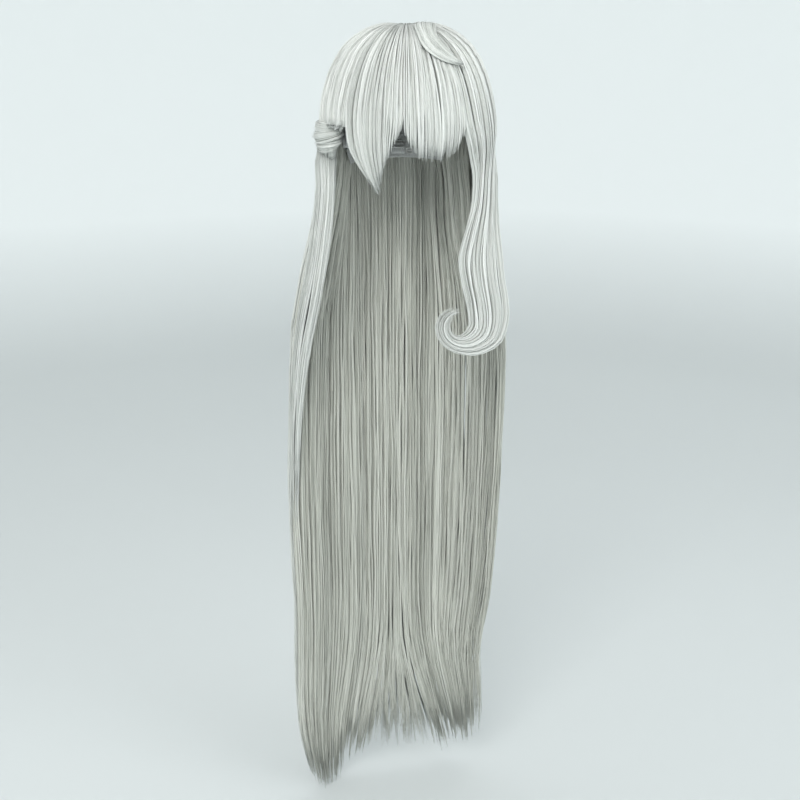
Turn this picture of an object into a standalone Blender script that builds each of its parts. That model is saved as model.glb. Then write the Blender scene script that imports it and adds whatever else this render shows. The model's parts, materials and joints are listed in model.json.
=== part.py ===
"""Long costume wig: a sewn cap with its tapes, wefts and adjusters, and the hair in locks.

Metres, +Z up. The origin is the inside of the cap at the crown, where the top of the wearer's head
touches it. The face looks along -Y, so the wearer's left is +X.

Places on the head are given by two angles, in degrees: the bearing, 0 at the middle of the forehead and
+90 over the wearer's left ear, and the fall, 0 at the crown and 90 at the head's widest level. A third
value is the height above the head's surface.
"""

from math import asin, cos, degrees, pi, radians, sin, sqrt

import bmesh
import bpy
from mathutils import Vector

# The head that the cap is cut for
HEAD_HALF_WIDTH = 0.076
HEAD_HALF_LENGTH = 0.094
CROWN_RISE = 0.100

# The cap's layers, as heights above the head
CLOTH = 0.0008
TAPE = 0.0009
WEFT = 0.0014
LAYER_GAP = 0.0005
SEAM_GAP = 0.0006
HAIR_BASE = 0.0056
HAIR_DEPTH = 0.0105
HAIR_GAP = 0.0008
FRINGE_LIFT = 0.0012
FRINGE_DEPTH = 0.008

# Where the cap's seams run
SKIN_TOP_FALL = 21.0
TEMPLE_BEARING = 60.0
SIDE_BEARING = 121.0
BAND_FALL = 9.0
NAPE_TOP_FALL = 107.0
NAPE_BAND_FALL = 11.0
TAPE_BEARING = 5.0
WEFT_FALL = 2.6
EAR_TAB_TOP_FALL = 86.0
EAR_TAB_LENGTH_FALL = 14.0
EAR_TAB_BEARINGS = (64.0, 92.0)
EAR_TAB_PINCH = 5.0
STAY_BEARING = 2.6

# The adjusters, which lie on a circle inside the nape
ADJUSTER_CLEARANCE = 0.0007
LOOP_TAPE_DEPTH = 0.0008
LOOP_TAPE_HEIGHT = 0.0085
STRAP_DEPTH = 0.0008
STRAP_HEIGHT = 0.006
HOOK_DEPTH = 0.0016
HOOK_HEIGHT = 0.0074
LOOP_TAPE_ARC = (2.0, 20.0)
HOOK_ARC = (22.0, 31.0)
STRAP_ARC = (31.4, 54.0)
CASING_ARC = (47.0, 55.0)

# Hair: where each lock starts and ends
CROWN_GAP_FALL = 5.0
FRONT_HAIR_FALL = 57.0
BACK_HAIR_FALL = 107.0
KNOT_SIDE_FALL = 76.0
LOCK_SIDE_FALL = 84.0
FRINGE_TOP_FALL = 63.0
FRINGE_END_FALL = 100.0
FRINGE_BEARINGS = (-15.5, 27.0)
RIGHT_LOCK_TOP_FALL = 63.0
PART_BEARING = 28.6
HAIR_LENGTH = 1.055
CURTAIN_HALF_WIDTH = 0.142
CURTAIN_SPLIT = 0.046
CURTAIN_LAYER_DEPTH = 0.0135
CURTAIN_SKEW = 12.0
NAPE_HAIR_TOP = -0.160
SHOULDER_LEVEL = -0.36
CURL_RISE = 0.024
CURL_RADIUS = 0.012

# How finely the curved pieces are divided, in degrees
FACET = 7.4

FRONT = Vector((0.0, -1.0, 0.0))
UP = Vector((0.0, 0.0, 1.0))

ink = {
    "hair": ((0.66, 0.69, 0.66, 1.0), 0.42, 0.0),
    "hair_shade": ((0.46, 0.49, 0.46, 1.0), 0.5, 0.0),
    "net": ((0.24, 0.25, 0.25, 1.0), 0.8, 0.0),
    "lace": ((0.52, 0.54, 0.53, 1.0), 0.75, 0.0),
    "skin": ((0.78, 0.68, 0.60, 1.0), 0.6, 0.0),
    "elastic": ((0.70, 0.71, 0.70, 1.0), 0.7, 0.0),
    "weft": ((0.58, 0.60, 0.58, 1.0), 0.6, 0.0),
    "plastic": ((0.80, 0.80, 0.78, 1.0), 0.3, 0.0),
    "steel": ((0.62, 0.63, 0.65, 1.0), 0.3, 1.0),
}


def clear_scene():
    for item in list(bpy.data.objects):
        bpy.data.objects.remove(item, do_unlink=True)


def new_collection(name):
    group = bpy.data.collections.new(name)
    bpy.context.scene.collection.children.link(group)
    return group


def material_for(name, finish):
    colour, roughness, metallic = ink[finish]
    paint = bpy.data.materials.new(name)
    paint.use_nodes = True
    shader = paint.node_tree.nodes["Principled BSDF"]
    shader.inputs["Base Color"].default_value = colour
    shader.inputs["Roughness"].default_value = roughness
    shader.inputs["Metallic"].default_value = metallic
    return paint


def on_head(bearing, fall, height=0.0):
    """The point above the head's surface at those two angles."""
    b, f = radians(bearing), radians(fall)
    return Vector(
        (
            (HEAD_HALF_WIDTH + height) * sin(f) * sin(b),
            -(HEAD_HALF_LENGTH + height) * sin(f) * cos(b),
            (CROWN_RISE + height) * cos(f) - CROWN_RISE,
        )
    )


def between(stops, at):
    """The value at a place along a list of (place, value) stops, straight between them."""
    if at <= stops[0][0]:
        return stops[0][1]
    for (low, first), (high, last) in zip(stops, stops[1:]):
        if at <= high:
            return first + (last - first) * (at - low) / (high - low)
    return stops[-1][1]


def hairline_fall(bearing):
    """The cap's front edge, lower towards the temples."""
    return between([(0, 62), (25, 63), (45, 67), (TEMPLE_BEARING, 73)], abs(bearing))


def side_edge_fall(bearing):
    """The cap's lower edge at the side, which rises over the ear and drops behind it."""
    top = EAR_TAB_TOP_FALL - 1.0
    stops = [(TEMPLE_BEARING, 79), (66, top), (94, top), (104, top + 6)]
    return between(stops + [(SIDE_BEARING, NAPE_TOP_FALL - 0.5)], abs(bearing))


def seam(bearing, fall, gap):
    """A bearing moved sideways by half a gap, so that the gap keeps its width up to the crown."""
    reach = HEAD_HALF_WIDTH * sin(radians(fall))
    return bearing + degrees(asin(max(-0.9, min(0.9, gap / (2 * reach)))))


def rest_in(group, item, pivot):
    """Puts an object in its collection, under its body's empty where it moves."""
    group.objects.link(item)
    if pivot is None:
        return
    for vertex in item.data.vertices:
        vertex.co -= pivot.location
    item.parent = pivot


def closed_mesh(group, name, finish, points, faces, pivot):
    mesh = bpy.data.meshes.new(name)
    mesh.from_pydata([tuple(p) for p in points], [], faces)
    edit = bmesh.new()
    edit.from_mesh(mesh)
    bmesh.ops.recalc_face_normals(edit, faces=edit.faces)
    edit.to_mesh(mesh)
    edit.free()
    mesh.materials.append(material_for(name, finish))
    item = bpy.data.objects.new(name, mesh)
    rest_in(group, item, pivot)
    mesh.shade_smooth()
    mesh.set_sharp_from_angle(angle=radians(40))
    return item


def shell_patch(group, name, finish, low, high, top, bottom, height, depth, pivot=None):
    """A patch of cloth or hair over the head, as an open grid that Solidify thickens outwards.

    low and high give the patch's side bearings at a fall, top and bottom its falls at a bearing.
    """
    middle = (low(60.0) + high(60.0)) / 2
    wide = high(80.0) - low(80.0)
    columns = max(2, round(wide / FACET))
    rows = max(1, round((bottom(middle) - top(middle)) / FACET))
    points = []
    for row in range(rows + 1):
        share = row / rows
        for column in range(columns + 1):
            across = column / columns
            nominal = low(80.0) + across * wide
            fall = top(nominal) + share * (bottom(nominal) - top(nominal))
            bearing = low(fall) + across * (high(fall) - low(fall))
            points.append(on_head(bearing, fall, height))
    faces = []
    for row in range(rows):
        for column in range(columns):
            corner = row * (columns + 1) + column
            below = corner + columns + 1
            faces.append((corner, below, below + 1, corner + 1))
    mesh = bpy.data.meshes.new(name)
    mesh.from_pydata([tuple(p) for p in points], [], faces)
    mesh.materials.append(material_for(name, finish))
    item = bpy.data.objects.new(name, mesh)
    rest_in(group, item, pivot)
    mesh.shade_smooth()
    wall = item.modifiers.new("Thickness", "SOLIDIFY")
    wall.thickness = depth
    wall.offset = 1.0
    return item


def steady(value):
    return lambda _: value


def cap_strip(group, name, finish, bearings, falls, height, depth, pivot=None):
    """A patch whose four sides are plain angles."""
    return shell_patch(
        group, name, finish,
        steady(bearings[0]), steady(bearings[1]), steady(falls[0]), steady(falls[1]),
        height, depth, pivot,
    )


def oval(centre, across, along, half_width, half_depth, sides=12, fullness=2.6):
    """The points of a rounded outline in the plane of two directions."""
    points = []
    for step in range(sides):
        turn = 2 * pi * step / sides
        c, s = cos(turn), sin(turn)
        u = half_width * abs(c) ** (2 / fullness) * (1 if c >= 0 else -1)
        v = half_depth * abs(s) ** (2 / fullness) * (1 if s >= 0 else -1)
        points.append(Vector(centre) + across * u + along * v)
    return points


def loft(group, name, finish, rings, pivot=None):
    """A closed lock of hair through unlike outlines."""
    sides = len(rings[0])
    points = [p for one in rings for p in one]
    faces = [tuple(range(sides)), tuple(len(points) - sides + i for i in range(sides))]
    for row in range(len(rings) - 1):
        for i in range(sides):
            a = row * sides + i
            b = row * sides + (i + 1) % sides
            faces.append((a, b, b + sides, a + sides))
    return closed_mesh(group, name, finish, points, faces, pivot)


def level_ring(x, y, z, half_width, half_depth, skew=0.0):
    """A level outline of a hanging lock, its wide side turned by skew about the vertical."""
    across = Vector((cos(radians(skew)), sin(radians(skew)), 0.0))
    along = Vector((-sin(radians(skew)), cos(radians(skew)), 0.0))
    return oval((x, y, z), across, along, half_width, half_depth)


def arc_block(group, name, finish, centre, radii, height, arc, pivot=None, steps=5):
    """A block bent round a vertical axis: arc is in degrees from the back, towards the wearer's left."""
    rings = []
    for step in range(steps + 1):
        turn = radians(arc[0] + (arc[1] - arc[0]) * step / steps)
        out = Vector((sin(turn), cos(turn), 0.0))
        inner = centre + out * radii[0]
        outer = centre + out * radii[1]
        half = UP * (height / 2)
        rings.append([inner - half, outer - half, outer + half, inner + half])
    return loft(group, name, finish, rings, pivot)


def pivot_at(group, name, place):
    empty = bpy.data.objects.new(name, None)
    empty.empty_display_size = 0.02
    empty.location = place
    group.objects.link(empty)
    return empty


# ---------------------------------------------------------------- the cap


def build_cap(group):
    tape_height = CLOTH + LAYER_GAP
    gap = SEAM_GAP
    band_low = lambda b: hairline_fall(b)
    band_high = lambda b: hairline_fall(b) - BAND_FALL
    temple_low = lambda f: seam(-TEMPLE_BEARING, f, gap)
    temple_high = lambda f: seam(TEMPLE_BEARING, f, -gap)
    shell_patch(
        group, "front_band", "lace", temple_low, temple_high,
        lambda b: band_high(b) + 0.3, band_low, 0.0, CLOTH,
    )
    shell_patch(
        group, "front_net", "net", temple_low, temple_high,
        steady(SKIN_TOP_FALL + 0.5), lambda b: band_high(b) - 0.3, 0.0, CLOTH,
    )
    for side, sign in (("left", 1), ("right", -1)):
        edges = sorted((sign * TEMPLE_BEARING, sign * SIDE_BEARING))
        shell_patch(
            group, f"side_net_{side}", "net",
            lambda f, e=edges: seam(e[0], f, gap), lambda f, e=edges: seam(e[1], f, -gap),
            steady(SKIN_TOP_FALL + 0.5), side_edge_fall, 0.0, CLOTH,
        )
        edges = sorted((180.0, 180.0 - sign * (180.0 - SIDE_BEARING)))
        shell_patch(
            group, f"back_net_{side}", "net",
            lambda f, e=edges: seam(e[0], f, gap), lambda f, e=edges: seam(e[1], f, -gap),
            steady(SKIN_TOP_FALL + 0.5), steady(NAPE_TOP_FALL - 0.3), 0.0, CLOTH,
        )
        middle = sign * TEMPLE_BEARING
        cap_strip(
            group, f"temple_tape_{side}", "elastic",
            (middle - TAPE_BEARING / 2, middle + TAPE_BEARING / 2),
            (SKIN_TOP_FALL + 2, hairline_fall(TEMPLE_BEARING) - 1), tape_height, TAPE,
        )
        middle = sign * SIDE_BEARING
        cap_strip(
            group, f"side_tape_{side}", "elastic",
            (middle - TAPE_BEARING / 2, middle + TAPE_BEARING / 2),
            (SKIN_TOP_FALL + 2, NAPE_TOP_FALL - 1), tape_height, TAPE,
        )
    cap_strip(
        group, "centre_tape", "elastic",
        (180 - TAPE_BEARING / 2, 180 + TAPE_BEARING / 2),
        (SKIN_TOP_FALL + 2, NAPE_TOP_FALL - 1), tape_height, TAPE,
    )
    cap_strip(
        group, "nape_band", "elastic", (SIDE_BEARING + 1.5, 358.5 - SIDE_BEARING),
        (NAPE_TOP_FALL + 0.3, NAPE_TOP_FALL + NAPE_BAND_FALL), 0.0, CLOTH,
    )
    build_skin_top(group)
    build_wefts(group, tape_height + TAPE + LAYER_GAP)


def build_skin_top(group):
    """The round patch at the whorl, where the hair looks as if it grows from skin."""
    spokes, rings = 16, 3
    points = [on_head(0.0, 0.0)]
    for ring in range(1, rings + 1):
        for spoke in range(spokes):
            points.append(on_head(360.0 * spoke / spokes, SKIN_TOP_FALL * ring / rings))
    faces = [(0, 1 + i, 1 + (i + 1) % spokes) for i in range(spokes)]
    for ring in range(rings - 1):
        for i in range(spokes):
            a = 1 + ring * spokes + i
            b = 1 + ring * spokes + (i + 1) % spokes
            faces.append((a, a + spokes, b + spokes, b))
    mesh = bpy.data.meshes.new("skin_top")
    mesh.from_pydata([tuple(p) for p in points], [], faces)
    mesh.materials.append(material_for("skin_top", "skin"))
    item = bpy.data.objects.new("skin_top", mesh)
    group.objects.link(item)
    mesh.shade_smooth()
    wall = item.modifiers.new("Thickness", "SOLIDIFY")
    wall.thickness = CLOTH
    wall.offset = 1.0


def build_wefts(group, height):
    """The sewn rows that carry the hair, laid over the nets and their tapes."""
    half = WEFT_FALL / 2
    for row, fall in enumerate((36.0, 54.0, 72.0, 88.0, 102.0)):
        cap_strip(
            group, f"back_weft_{row + 1}", "weft",
            (SIDE_BEARING + 3.5, 356.5 - SIDE_BEARING), (fall - half, fall + half), height, WEFT,
        )
    for row, fall in enumerate((36.0, 50.0)):
        cap_strip(
            group, f"front_weft_{row + 1}", "weft",
            (3.5 - TEMPLE_BEARING, TEMPLE_BEARING - 3.5), (fall - half, fall + half), height, WEFT,
        )
    for row, fall in enumerate((45.0, 68.0)):
        for side, sign in (("left", 1), ("right", -1)):
            edges = sorted((sign * (TEMPLE_BEARING + 3.5), sign * (SIDE_BEARING - 3.5)))
            cap_strip(
                group, f"{side}_weft_{row + 1}", "weft",
                edges, (fall - half, fall + half), height, WEFT,
            )


def build_ear_tabs(group):
    """The tabs in front of the ears, each with a bendable stay, which fold in against the temple."""
    low, high = EAR_TAB_BEARINGS
    top = EAR_TAB_TOP_FALL
    bottom = top + EAR_TAB_LENGTH_FALL
    middle = (low + high) / 2
    for side, sign in (("left", 1), ("right", -1)):
        pivot = pivot_at(group, f"ear_tab_{side}_axis", on_head(sign * middle, top, CLOTH / 2))
        inner = lambda f: low + EAR_TAB_PINCH * (f - top) / (bottom - top)
        outer = lambda f: high - EAR_TAB_PINCH * (f - top) / (bottom - top)
        first, last = (inner, outer) if sign > 0 else (lambda f: -outer(f), lambda f: -inner(f))
        shell_patch(
            group, f"ear_tab_{side}", "lace", first, last,
            steady(top), steady(bottom), 0.0, CLOTH, pivot,
        )
        edges = sorted((sign * middle - STAY_BEARING / 2, sign * middle + STAY_BEARING / 2))
        cap_strip(
            group, f"ear_stay_{side}", "steel", edges, (top + 1.5, bottom - 1.5),
            CLOTH + LAYER_GAP, TAPE, pivot,
        )


def inside_radius(centre, turn, level):
    """How far the inside of the cap is from the adjusters' axis, at a turn and a level."""
    share = sqrt(1 - ((level + CROWN_RISE) / CROWN_RISE) ** 2)
    half_width, half_length = HEAD_HALF_WIDTH * share, HEAD_HALF_LENGTH * share
    s, c = sin(radians(turn)), cos(radians(turn))
    square = (s / half_width) ** 2 + (c / half_length) ** 2
    linear = 2 * centre.y * c / half_length**2
    constant = (centre.y / half_length) ** 2 - 1
    return (-linear + sqrt(linear**2 - 4 * square * constant)) / (2 * square)


def build_adjusters(group):
    """A hook on a strap at each side of the nape, sliding along a tape of loops."""
    fall = radians(NAPE_TOP_FALL + NAPE_BAND_FALL / 2)
    half_width = HEAD_HALF_WIDTH * sin(fall)
    half_length = HEAD_HALF_LENGTH * sin(fall)
    radius = half_width**2 / half_length
    centre = Vector((0.0, half_length - radius, CROWN_RISE * (cos(fall) - 1)))
    lowest = centre.z - LOOP_TAPE_HEIGHT / 2
    tape_outer = min(inside_radius(centre, t, lowest) for t in LOOP_TAPE_ARC) - ADJUSTER_CLEARANCE
    casing_outer = min(inside_radius(centre, t, lowest) for t in CASING_ARC) - ADJUSTER_CLEARANCE
    tape_inner = tape_outer - LOOP_TAPE_DEPTH
    hook_outer = tape_inner - LAYER_GAP
    strap_middle = hook_outer - HOOK_DEPTH / 2
    casing_inner = strap_middle + STRAP_DEPTH / 2 + LAYER_GAP
    for side, sign in (("left", 1), ("right", -1)):
        turned = lambda arc, s=sign: tuple(sorted((s * arc[0], s * arc[1])))
        arc_block(
            group, f"loop_tape_{side}", "elastic", centre, (tape_inner, tape_outer),
            LOOP_TAPE_HEIGHT, turned(LOOP_TAPE_ARC),
        )
        arc_block(
            group, f"strap_casing_{side}", "lace", centre, (casing_inner, casing_outer),
            LOOP_TAPE_HEIGHT, turned(CASING_ARC),
        )
        pivot = pivot_at(group, f"adjuster_{side}_axis", centre)
        arc_block(
            group, f"adjuster_hook_{side}", "plastic", centre,
            (hook_outer - HOOK_DEPTH, hook_outer), HOOK_HEIGHT, turned(HOOK_ARC), pivot,
        )
        arc_block(
            group, f"adjuster_strap_{side}", "elastic", centre,
            (strap_middle - STRAP_DEPTH / 2, strap_middle + STRAP_DEPTH / 2), STRAP_HEIGHT,
            turned(STRAP_ARC), pivot,
        )


# ---------------------------------------------------------------- hair that stays on the cap


def build_crown_hair(group):
    """The hair that lies on the cap, parted into sheets that run down from the crown."""
    gap = HAIR_GAP
    right_temple = -TEMPLE_BEARING - 1.0

    def sheet(name, first, last, bottom):
        shell_patch(
            group, name, "hair",
            lambda f: seam(first, f, gap), lambda f: seam(last, f, -gap),
            steady(CROWN_GAP_FALL), bottom, HAIR_BASE, HAIR_DEPTH,
        )

    sheet("crown_hair_front", right_temple, PART_BEARING, steady(FRONT_HAIR_FALL))
    sheet(
        "crown_hair_left", PART_BEARING, SIDE_BEARING,
        lambda b: between([(PART_BEARING, 60), (45, 70), (60, 80), (70, LOCK_SIDE_FALL)], b),
    )
    sheet("crown_hair_back_left", SIDE_BEARING, 180.0, steady(BACK_HAIR_FALL))
    sheet("crown_hair_back_right", 180.0, 360.0 - SIDE_BEARING, steady(BACK_HAIR_FALL))
    sheet("crown_hair_right", -SIDE_BEARING, right_temple, steady(KNOT_SIDE_FALL))


def build_knot(group):
    """The side twist over the wearer's right ear: the knot, the lock wound round it and its band."""
    low = CROWN_RISE * (cos(radians(KNOT_SIDE_FALL)) - 1)
    middle = Vector((-(HEAD_HALF_WIDTH + 0.0185), 0.004, low - 0.0345))
    across = Vector((0.0, 1.0, 0.0))
    out = Vector((1.0, 0.0, 0.0))
    rings = []
    for share, wide, deep in ((-1.0, 0.010, 0.005), (-0.72, 0.019, 0.0085), (-0.3, 0.0225, 0.0095),
                              (0.3, 0.0225, 0.0095), (0.72, 0.018, 0.0085), (1.0, 0.009, 0.005)):
        rings.append(oval(middle - UP * 0.020 * share, across, out, wide, deep))
    loft(group, "side_knot", "hair", rings)
    rings = []
    for step in range(9):
        turn = radians(-62 + 124 * step / 8)
        place = middle + Vector((-0.0150 * cos(turn), -0.0285 * sin(turn), 0.004 * sin(turn)))
        outward = Vector((-cos(turn), -sin(turn) * 0.55, 0.0)).normalized()
        thin = 0.0022 + 0.0016 * cos(turn)
        rings.append(oval(place, outward, UP, thin, 0.0075 * (0.55 + 0.45 * cos(turn)), sides=8))
    loft(group, "knot_wrap", "hair", rings)
    build_knot_band(group, middle - UP * 0.0240 + across * 0.002)


def build_knot_band(group, place):
    """The small elastic ring that holds the twist."""
    bpy.ops.mesh.primitive_torus_add(
        major_radius=0.0105, minor_radius=0.0012, major_segments=20, minor_segments=6, location=place
    )
    band = bpy.context.active_object
    band.name = "knot_band"
    band.data.materials.append(material_for("knot_band", "elastic"))
    band.data.shade_smooth()
    for owner in list(band.users_collection):
        owner.objects.unlink(band)
    group.objects.link(band)


# ---------------------------------------------------------------- hair that moves


def build_fringe(group):
    """The middle of the fringe, which lifts forwards."""
    low, high = FRINGE_BEARINGS
    height = HAIR_BASE + FRINGE_LIFT
    root = on_head(0.0, FRINGE_TOP_FALL, height)
    pivot = pivot_at(group, "fringe_axis", root + Vector((0.0, 0.0005, 0.0008)))
    ends = lambda b: FRINGE_END_FALL - 14 * (abs(b - (low + high) / 2) / (high - low)) ** 2
    shell_patch(
        group, "fringe_centre", "hair", steady(low), steady(high),
        steady(FRINGE_TOP_FALL), ends, height, FRINGE_DEPTH, pivot,
    )


def build_right_lock(group):
    """The long pointed face lock at the wearer's right, which lifts away from the cheek."""
    inner = [(63, -19.5), (82, -19.5), (99, -30), (109, -35), (122, -38.5)]
    outer = [(63, -60), (86, -60.4), (97, -60), (108, -56), (117, -50), (122, -42)]
    height = HAIR_BASE + FRINGE_LIFT
    root = on_head(-43.0, RIGHT_LOCK_TOP_FALL, height)
    pivot = pivot_at(group, "right_lock_axis", root + Vector((0.0006, 0.0006, 0.0008)))
    shell_patch(
        group, "face_lock_right", "hair",
        lambda f: between(outer, f), lambda f: between(inner, f),
        steady(RIGHT_LOCK_TOP_FALL), steady(122.0), height, FRINGE_DEPTH, pivot,
    )


def build_left_lock(group):
    """The wearer's left side lock: from the temple down over the shoulder, ending in an inward curl."""
    out = HEAD_HALF_WIDTH + HAIR_BASE
    pivot = pivot_at(group, "left_lock_axis", (out, -0.050, -0.112))
    rings = [
        level_ring(out - 0.0035, -0.0560, -0.118, 0.0270, 0.0030, 60),
        level_ring(out - 0.0015, -0.0590, -0.130, 0.0300, 0.0060, 58),
        level_ring(out + 0.0000, -0.0610, -0.160, 0.0270, 0.0070, 50),
        level_ring(out + 0.0010, -0.0630, -0.205, 0.0235, 0.0080, 32),
        level_ring(out - 0.0020, -0.0640, -0.255, 0.0265, 0.0080, 14),
        level_ring(out + 0.0010, -0.0640, -0.293, 0.0270, 0.0078, 4),
    ]
    eye = Vector((0.0475, -0.064, -0.297 - CURL_RISE))
    for turn, outer, deep in ((0, 0.0620, 0.0075), (-28, 0.0580, 0.0072), (-58, 0.0450, 0.0070),
                              (-88, 0.0370, 0.0066), (-118, 0.0310, 0.0062), (-150, 0.0262, 0.0058),
                              (-185, 0.0225, 0.0052), (-220, 0.0200, 0.0045), (-255, 0.0178, 0.0036),
                              (-282, 0.0160, 0.0026)):
        spin = radians(turn)
        away = Vector((cos(spin), 0.0, sin(spin)))
        middle = eye + away * (CURL_RADIUS + outer) / 2
        rings.append(oval(middle, away, -FRONT, (outer - CURL_RADIUS) / 2, deep))
    loft(group, "side_lock_left", "hair", rings, pivot)


def build_ahoge(group):
    """The flat leaf of hair that springs from the crown and lies forwards to the wearer's left."""
    start = on_head(60.0, 6.0, HAIR_BASE + HAIR_DEPTH + 0.0032)
    pivot = pivot_at(group, "ahoge_axis", start)
    rings = []
    for bearing, fall, lift, half in ((60, 6, 0.0032, 0.0055), (48, 12, 0.0060, 0.0085),
                                      (41, 20, 0.0066, 0.0090), (38, 29, 0.0052, 0.0085),
                                      (38, 38, 0.0042, 0.0072), (40, 45, 0.0036, 0.0048),
                                      (43, 50, 0.0032, 0.0018)):
        place = on_head(bearing, fall, HAIR_BASE + HAIR_DEPTH + lift)
        ahead = on_head(bearing - 2, fall + 4, HAIR_BASE + HAIR_DEPTH + lift) - place
        normal = (on_head(bearing, fall, 0.02) - on_head(bearing, fall, 0.0)).normalized()
        across = ahead.cross(normal).normalized()
        rings.append(oval(place, across, normal, half, 0.0013, sides=10))
    loft(group, "ahoge", "hair", rings, pivot)


def curtain_column(group, name, span, layer, length, pivot):
    """One layer of one width of the long back hair: span is its two sides at the shoulders."""
    low, high = span
    middle = (low + high) / 2
    outer = max(abs(low), abs(high))
    side = 0 if low * high < 0 else (1 if middle > 0 else -1)
    skew = -side * CURTAIN_SKEW
    at_head = (HEAD_HALF_WIDTH + HAIR_BASE + HAIR_DEPTH) / outer
    base = HEAD_HALF_LENGTH - 0.0075 + layer * (CURTAIN_LAYER_DEPTH + HAIR_GAP)
    rings = []
    levels = (
        (NAPE_HAIR_TOP, 0.0, 0.55), (NAPE_HAIR_TOP - 0.03, 0.12, 0.85),
        (SHOULDER_LEVEL, 1.0, 1.0), ((SHOULDER_LEVEL - length) / 2, 1.0, 1.0),
        (-length + 0.10, 0.98, 0.95), (-length, 0.80, 0.40),
    )
    for z, spread, thick in levels:
        if side == 0:
            left, right = low, high
        else:
            inside = min(abs(low), abs(high))
            far = inside + (outer * (at_head + (1 - at_head) * spread) - inside)
            left, right = sorted((side * inside, side * far))
        half = (right - left) / 2
        back = max(0.0, half * sin(radians(CURTAIN_SKEW))) if side else 0.0
        rings.append(
            level_ring((left + right) / 2, base - back, z, half, CURTAIN_LAYER_DEPTH / 2 * thick, skew)
        )
    loft(group, name, "hair_shade" if layer == 0 else "hair", rings, pivot)


def build_back_hair(group):
    """The long hair at the back, in three widths that lift on their own, each of two layers."""
    split = CURTAIN_SPLIT
    gap = HAIR_GAP
    widths = {
        "right": (-CURTAIN_HALF_WIDTH, -split - gap, HAIR_LENGTH, 0.974),
        "centre": (-split, split, HAIR_LENGTH * 0.945, 0.93),
        "left": (split + gap, CURTAIN_HALF_WIDTH, HAIR_LENGTH * 0.955, 0.90),
    }
    hinge = {"right": 0.074, "centre": 0.088, "left": 0.074}
    pivots = {}
    for side, (low, high, length, share) in widths.items():
        pivot = pivot_at(group, f"back_hair_{side}_axis", (0.0, hinge[side], NAPE_HAIR_TOP + 0.010))
        curtain_column(group, f"back_hair_{side}_under", (low, high), 0, length * share, pivot)
        curtain_column(group, f"back_hair_{side}_over", (low, high), 1, length, pivot)
        pivots[side] = pivot
    build_side_hair(group, pivots)


def build_side_hair(group, pivots):
    """The hair behind each ear, and the tail that falls from the side twist."""
    out = HEAD_HALF_WIDTH + HAIR_BASE + 0.008
    for side, sign in (("left", 1), ("right", -1)):
        rings = [
            level_ring(sign * (out - 0.001), 0.0440, -0.158, 0.0060, 0.0190),
            level_ring(sign * (out + 0.004), 0.0440, -0.200, 0.0085, 0.0165),
            level_ring(sign * (out + 0.014), 0.0490, -0.270, 0.0085, 0.0105),
            level_ring(sign * (out + 0.024), 0.0530, -0.330, 0.0060, 0.0050),
        ]
        loft(group, f"side_hair_{side}", "hair_shade", rings, pivots[side])
    rings = [
        level_ring(-(out + 0.0040), 0.004, -0.1405, 0.0070, 0.0085),
        level_ring(-(out + 0.0050), 0.004, -0.170, 0.0100, 0.0150),
        level_ring(-(out + 0.0120), 0.009, -0.230, 0.0105, 0.0160),
        level_ring(-(out + 0.0230), 0.020, -0.300, 0.0110, 0.0160),
        level_ring(-(out + 0.0330), 0.036, -0.370, 0.0095, 0.0120),
        level_ring(-(out + 0.0400), 0.046, -0.440, 0.0050, 0.0060),
    ]
    loft(group, "knot_tail", "hair", rings, pivots["right"])


def main():
    clear_scene()
    wig = new_collection("costume_wig")
    build_cap(wig)
    build_ear_tabs(wig)
    build_adjusters(wig)
    build_crown_hair(wig)
    build_knot(wig)
    build_fringe(wig)
    build_right_lock(wig)
    build_left_lock(wig)
    build_ahoge(wig)
    build_back_hair(wig)


main()
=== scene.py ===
"""The looks of a long costume wig: combed hair in locks over a sewn cap.

Metres, +Z up, in the frame of the CAD model: the origin is the inside of the cap at the crown, and the
face looks along -Y, so the wearer's left is +X. A place on the head is a bearing (0 at the middle of the
forehead, +90 over the wearer's left ear), a fall (0 at the crown, 90 at the widest level) and a height.
"""
import json
from math import cos, pi, radians, sin

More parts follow.
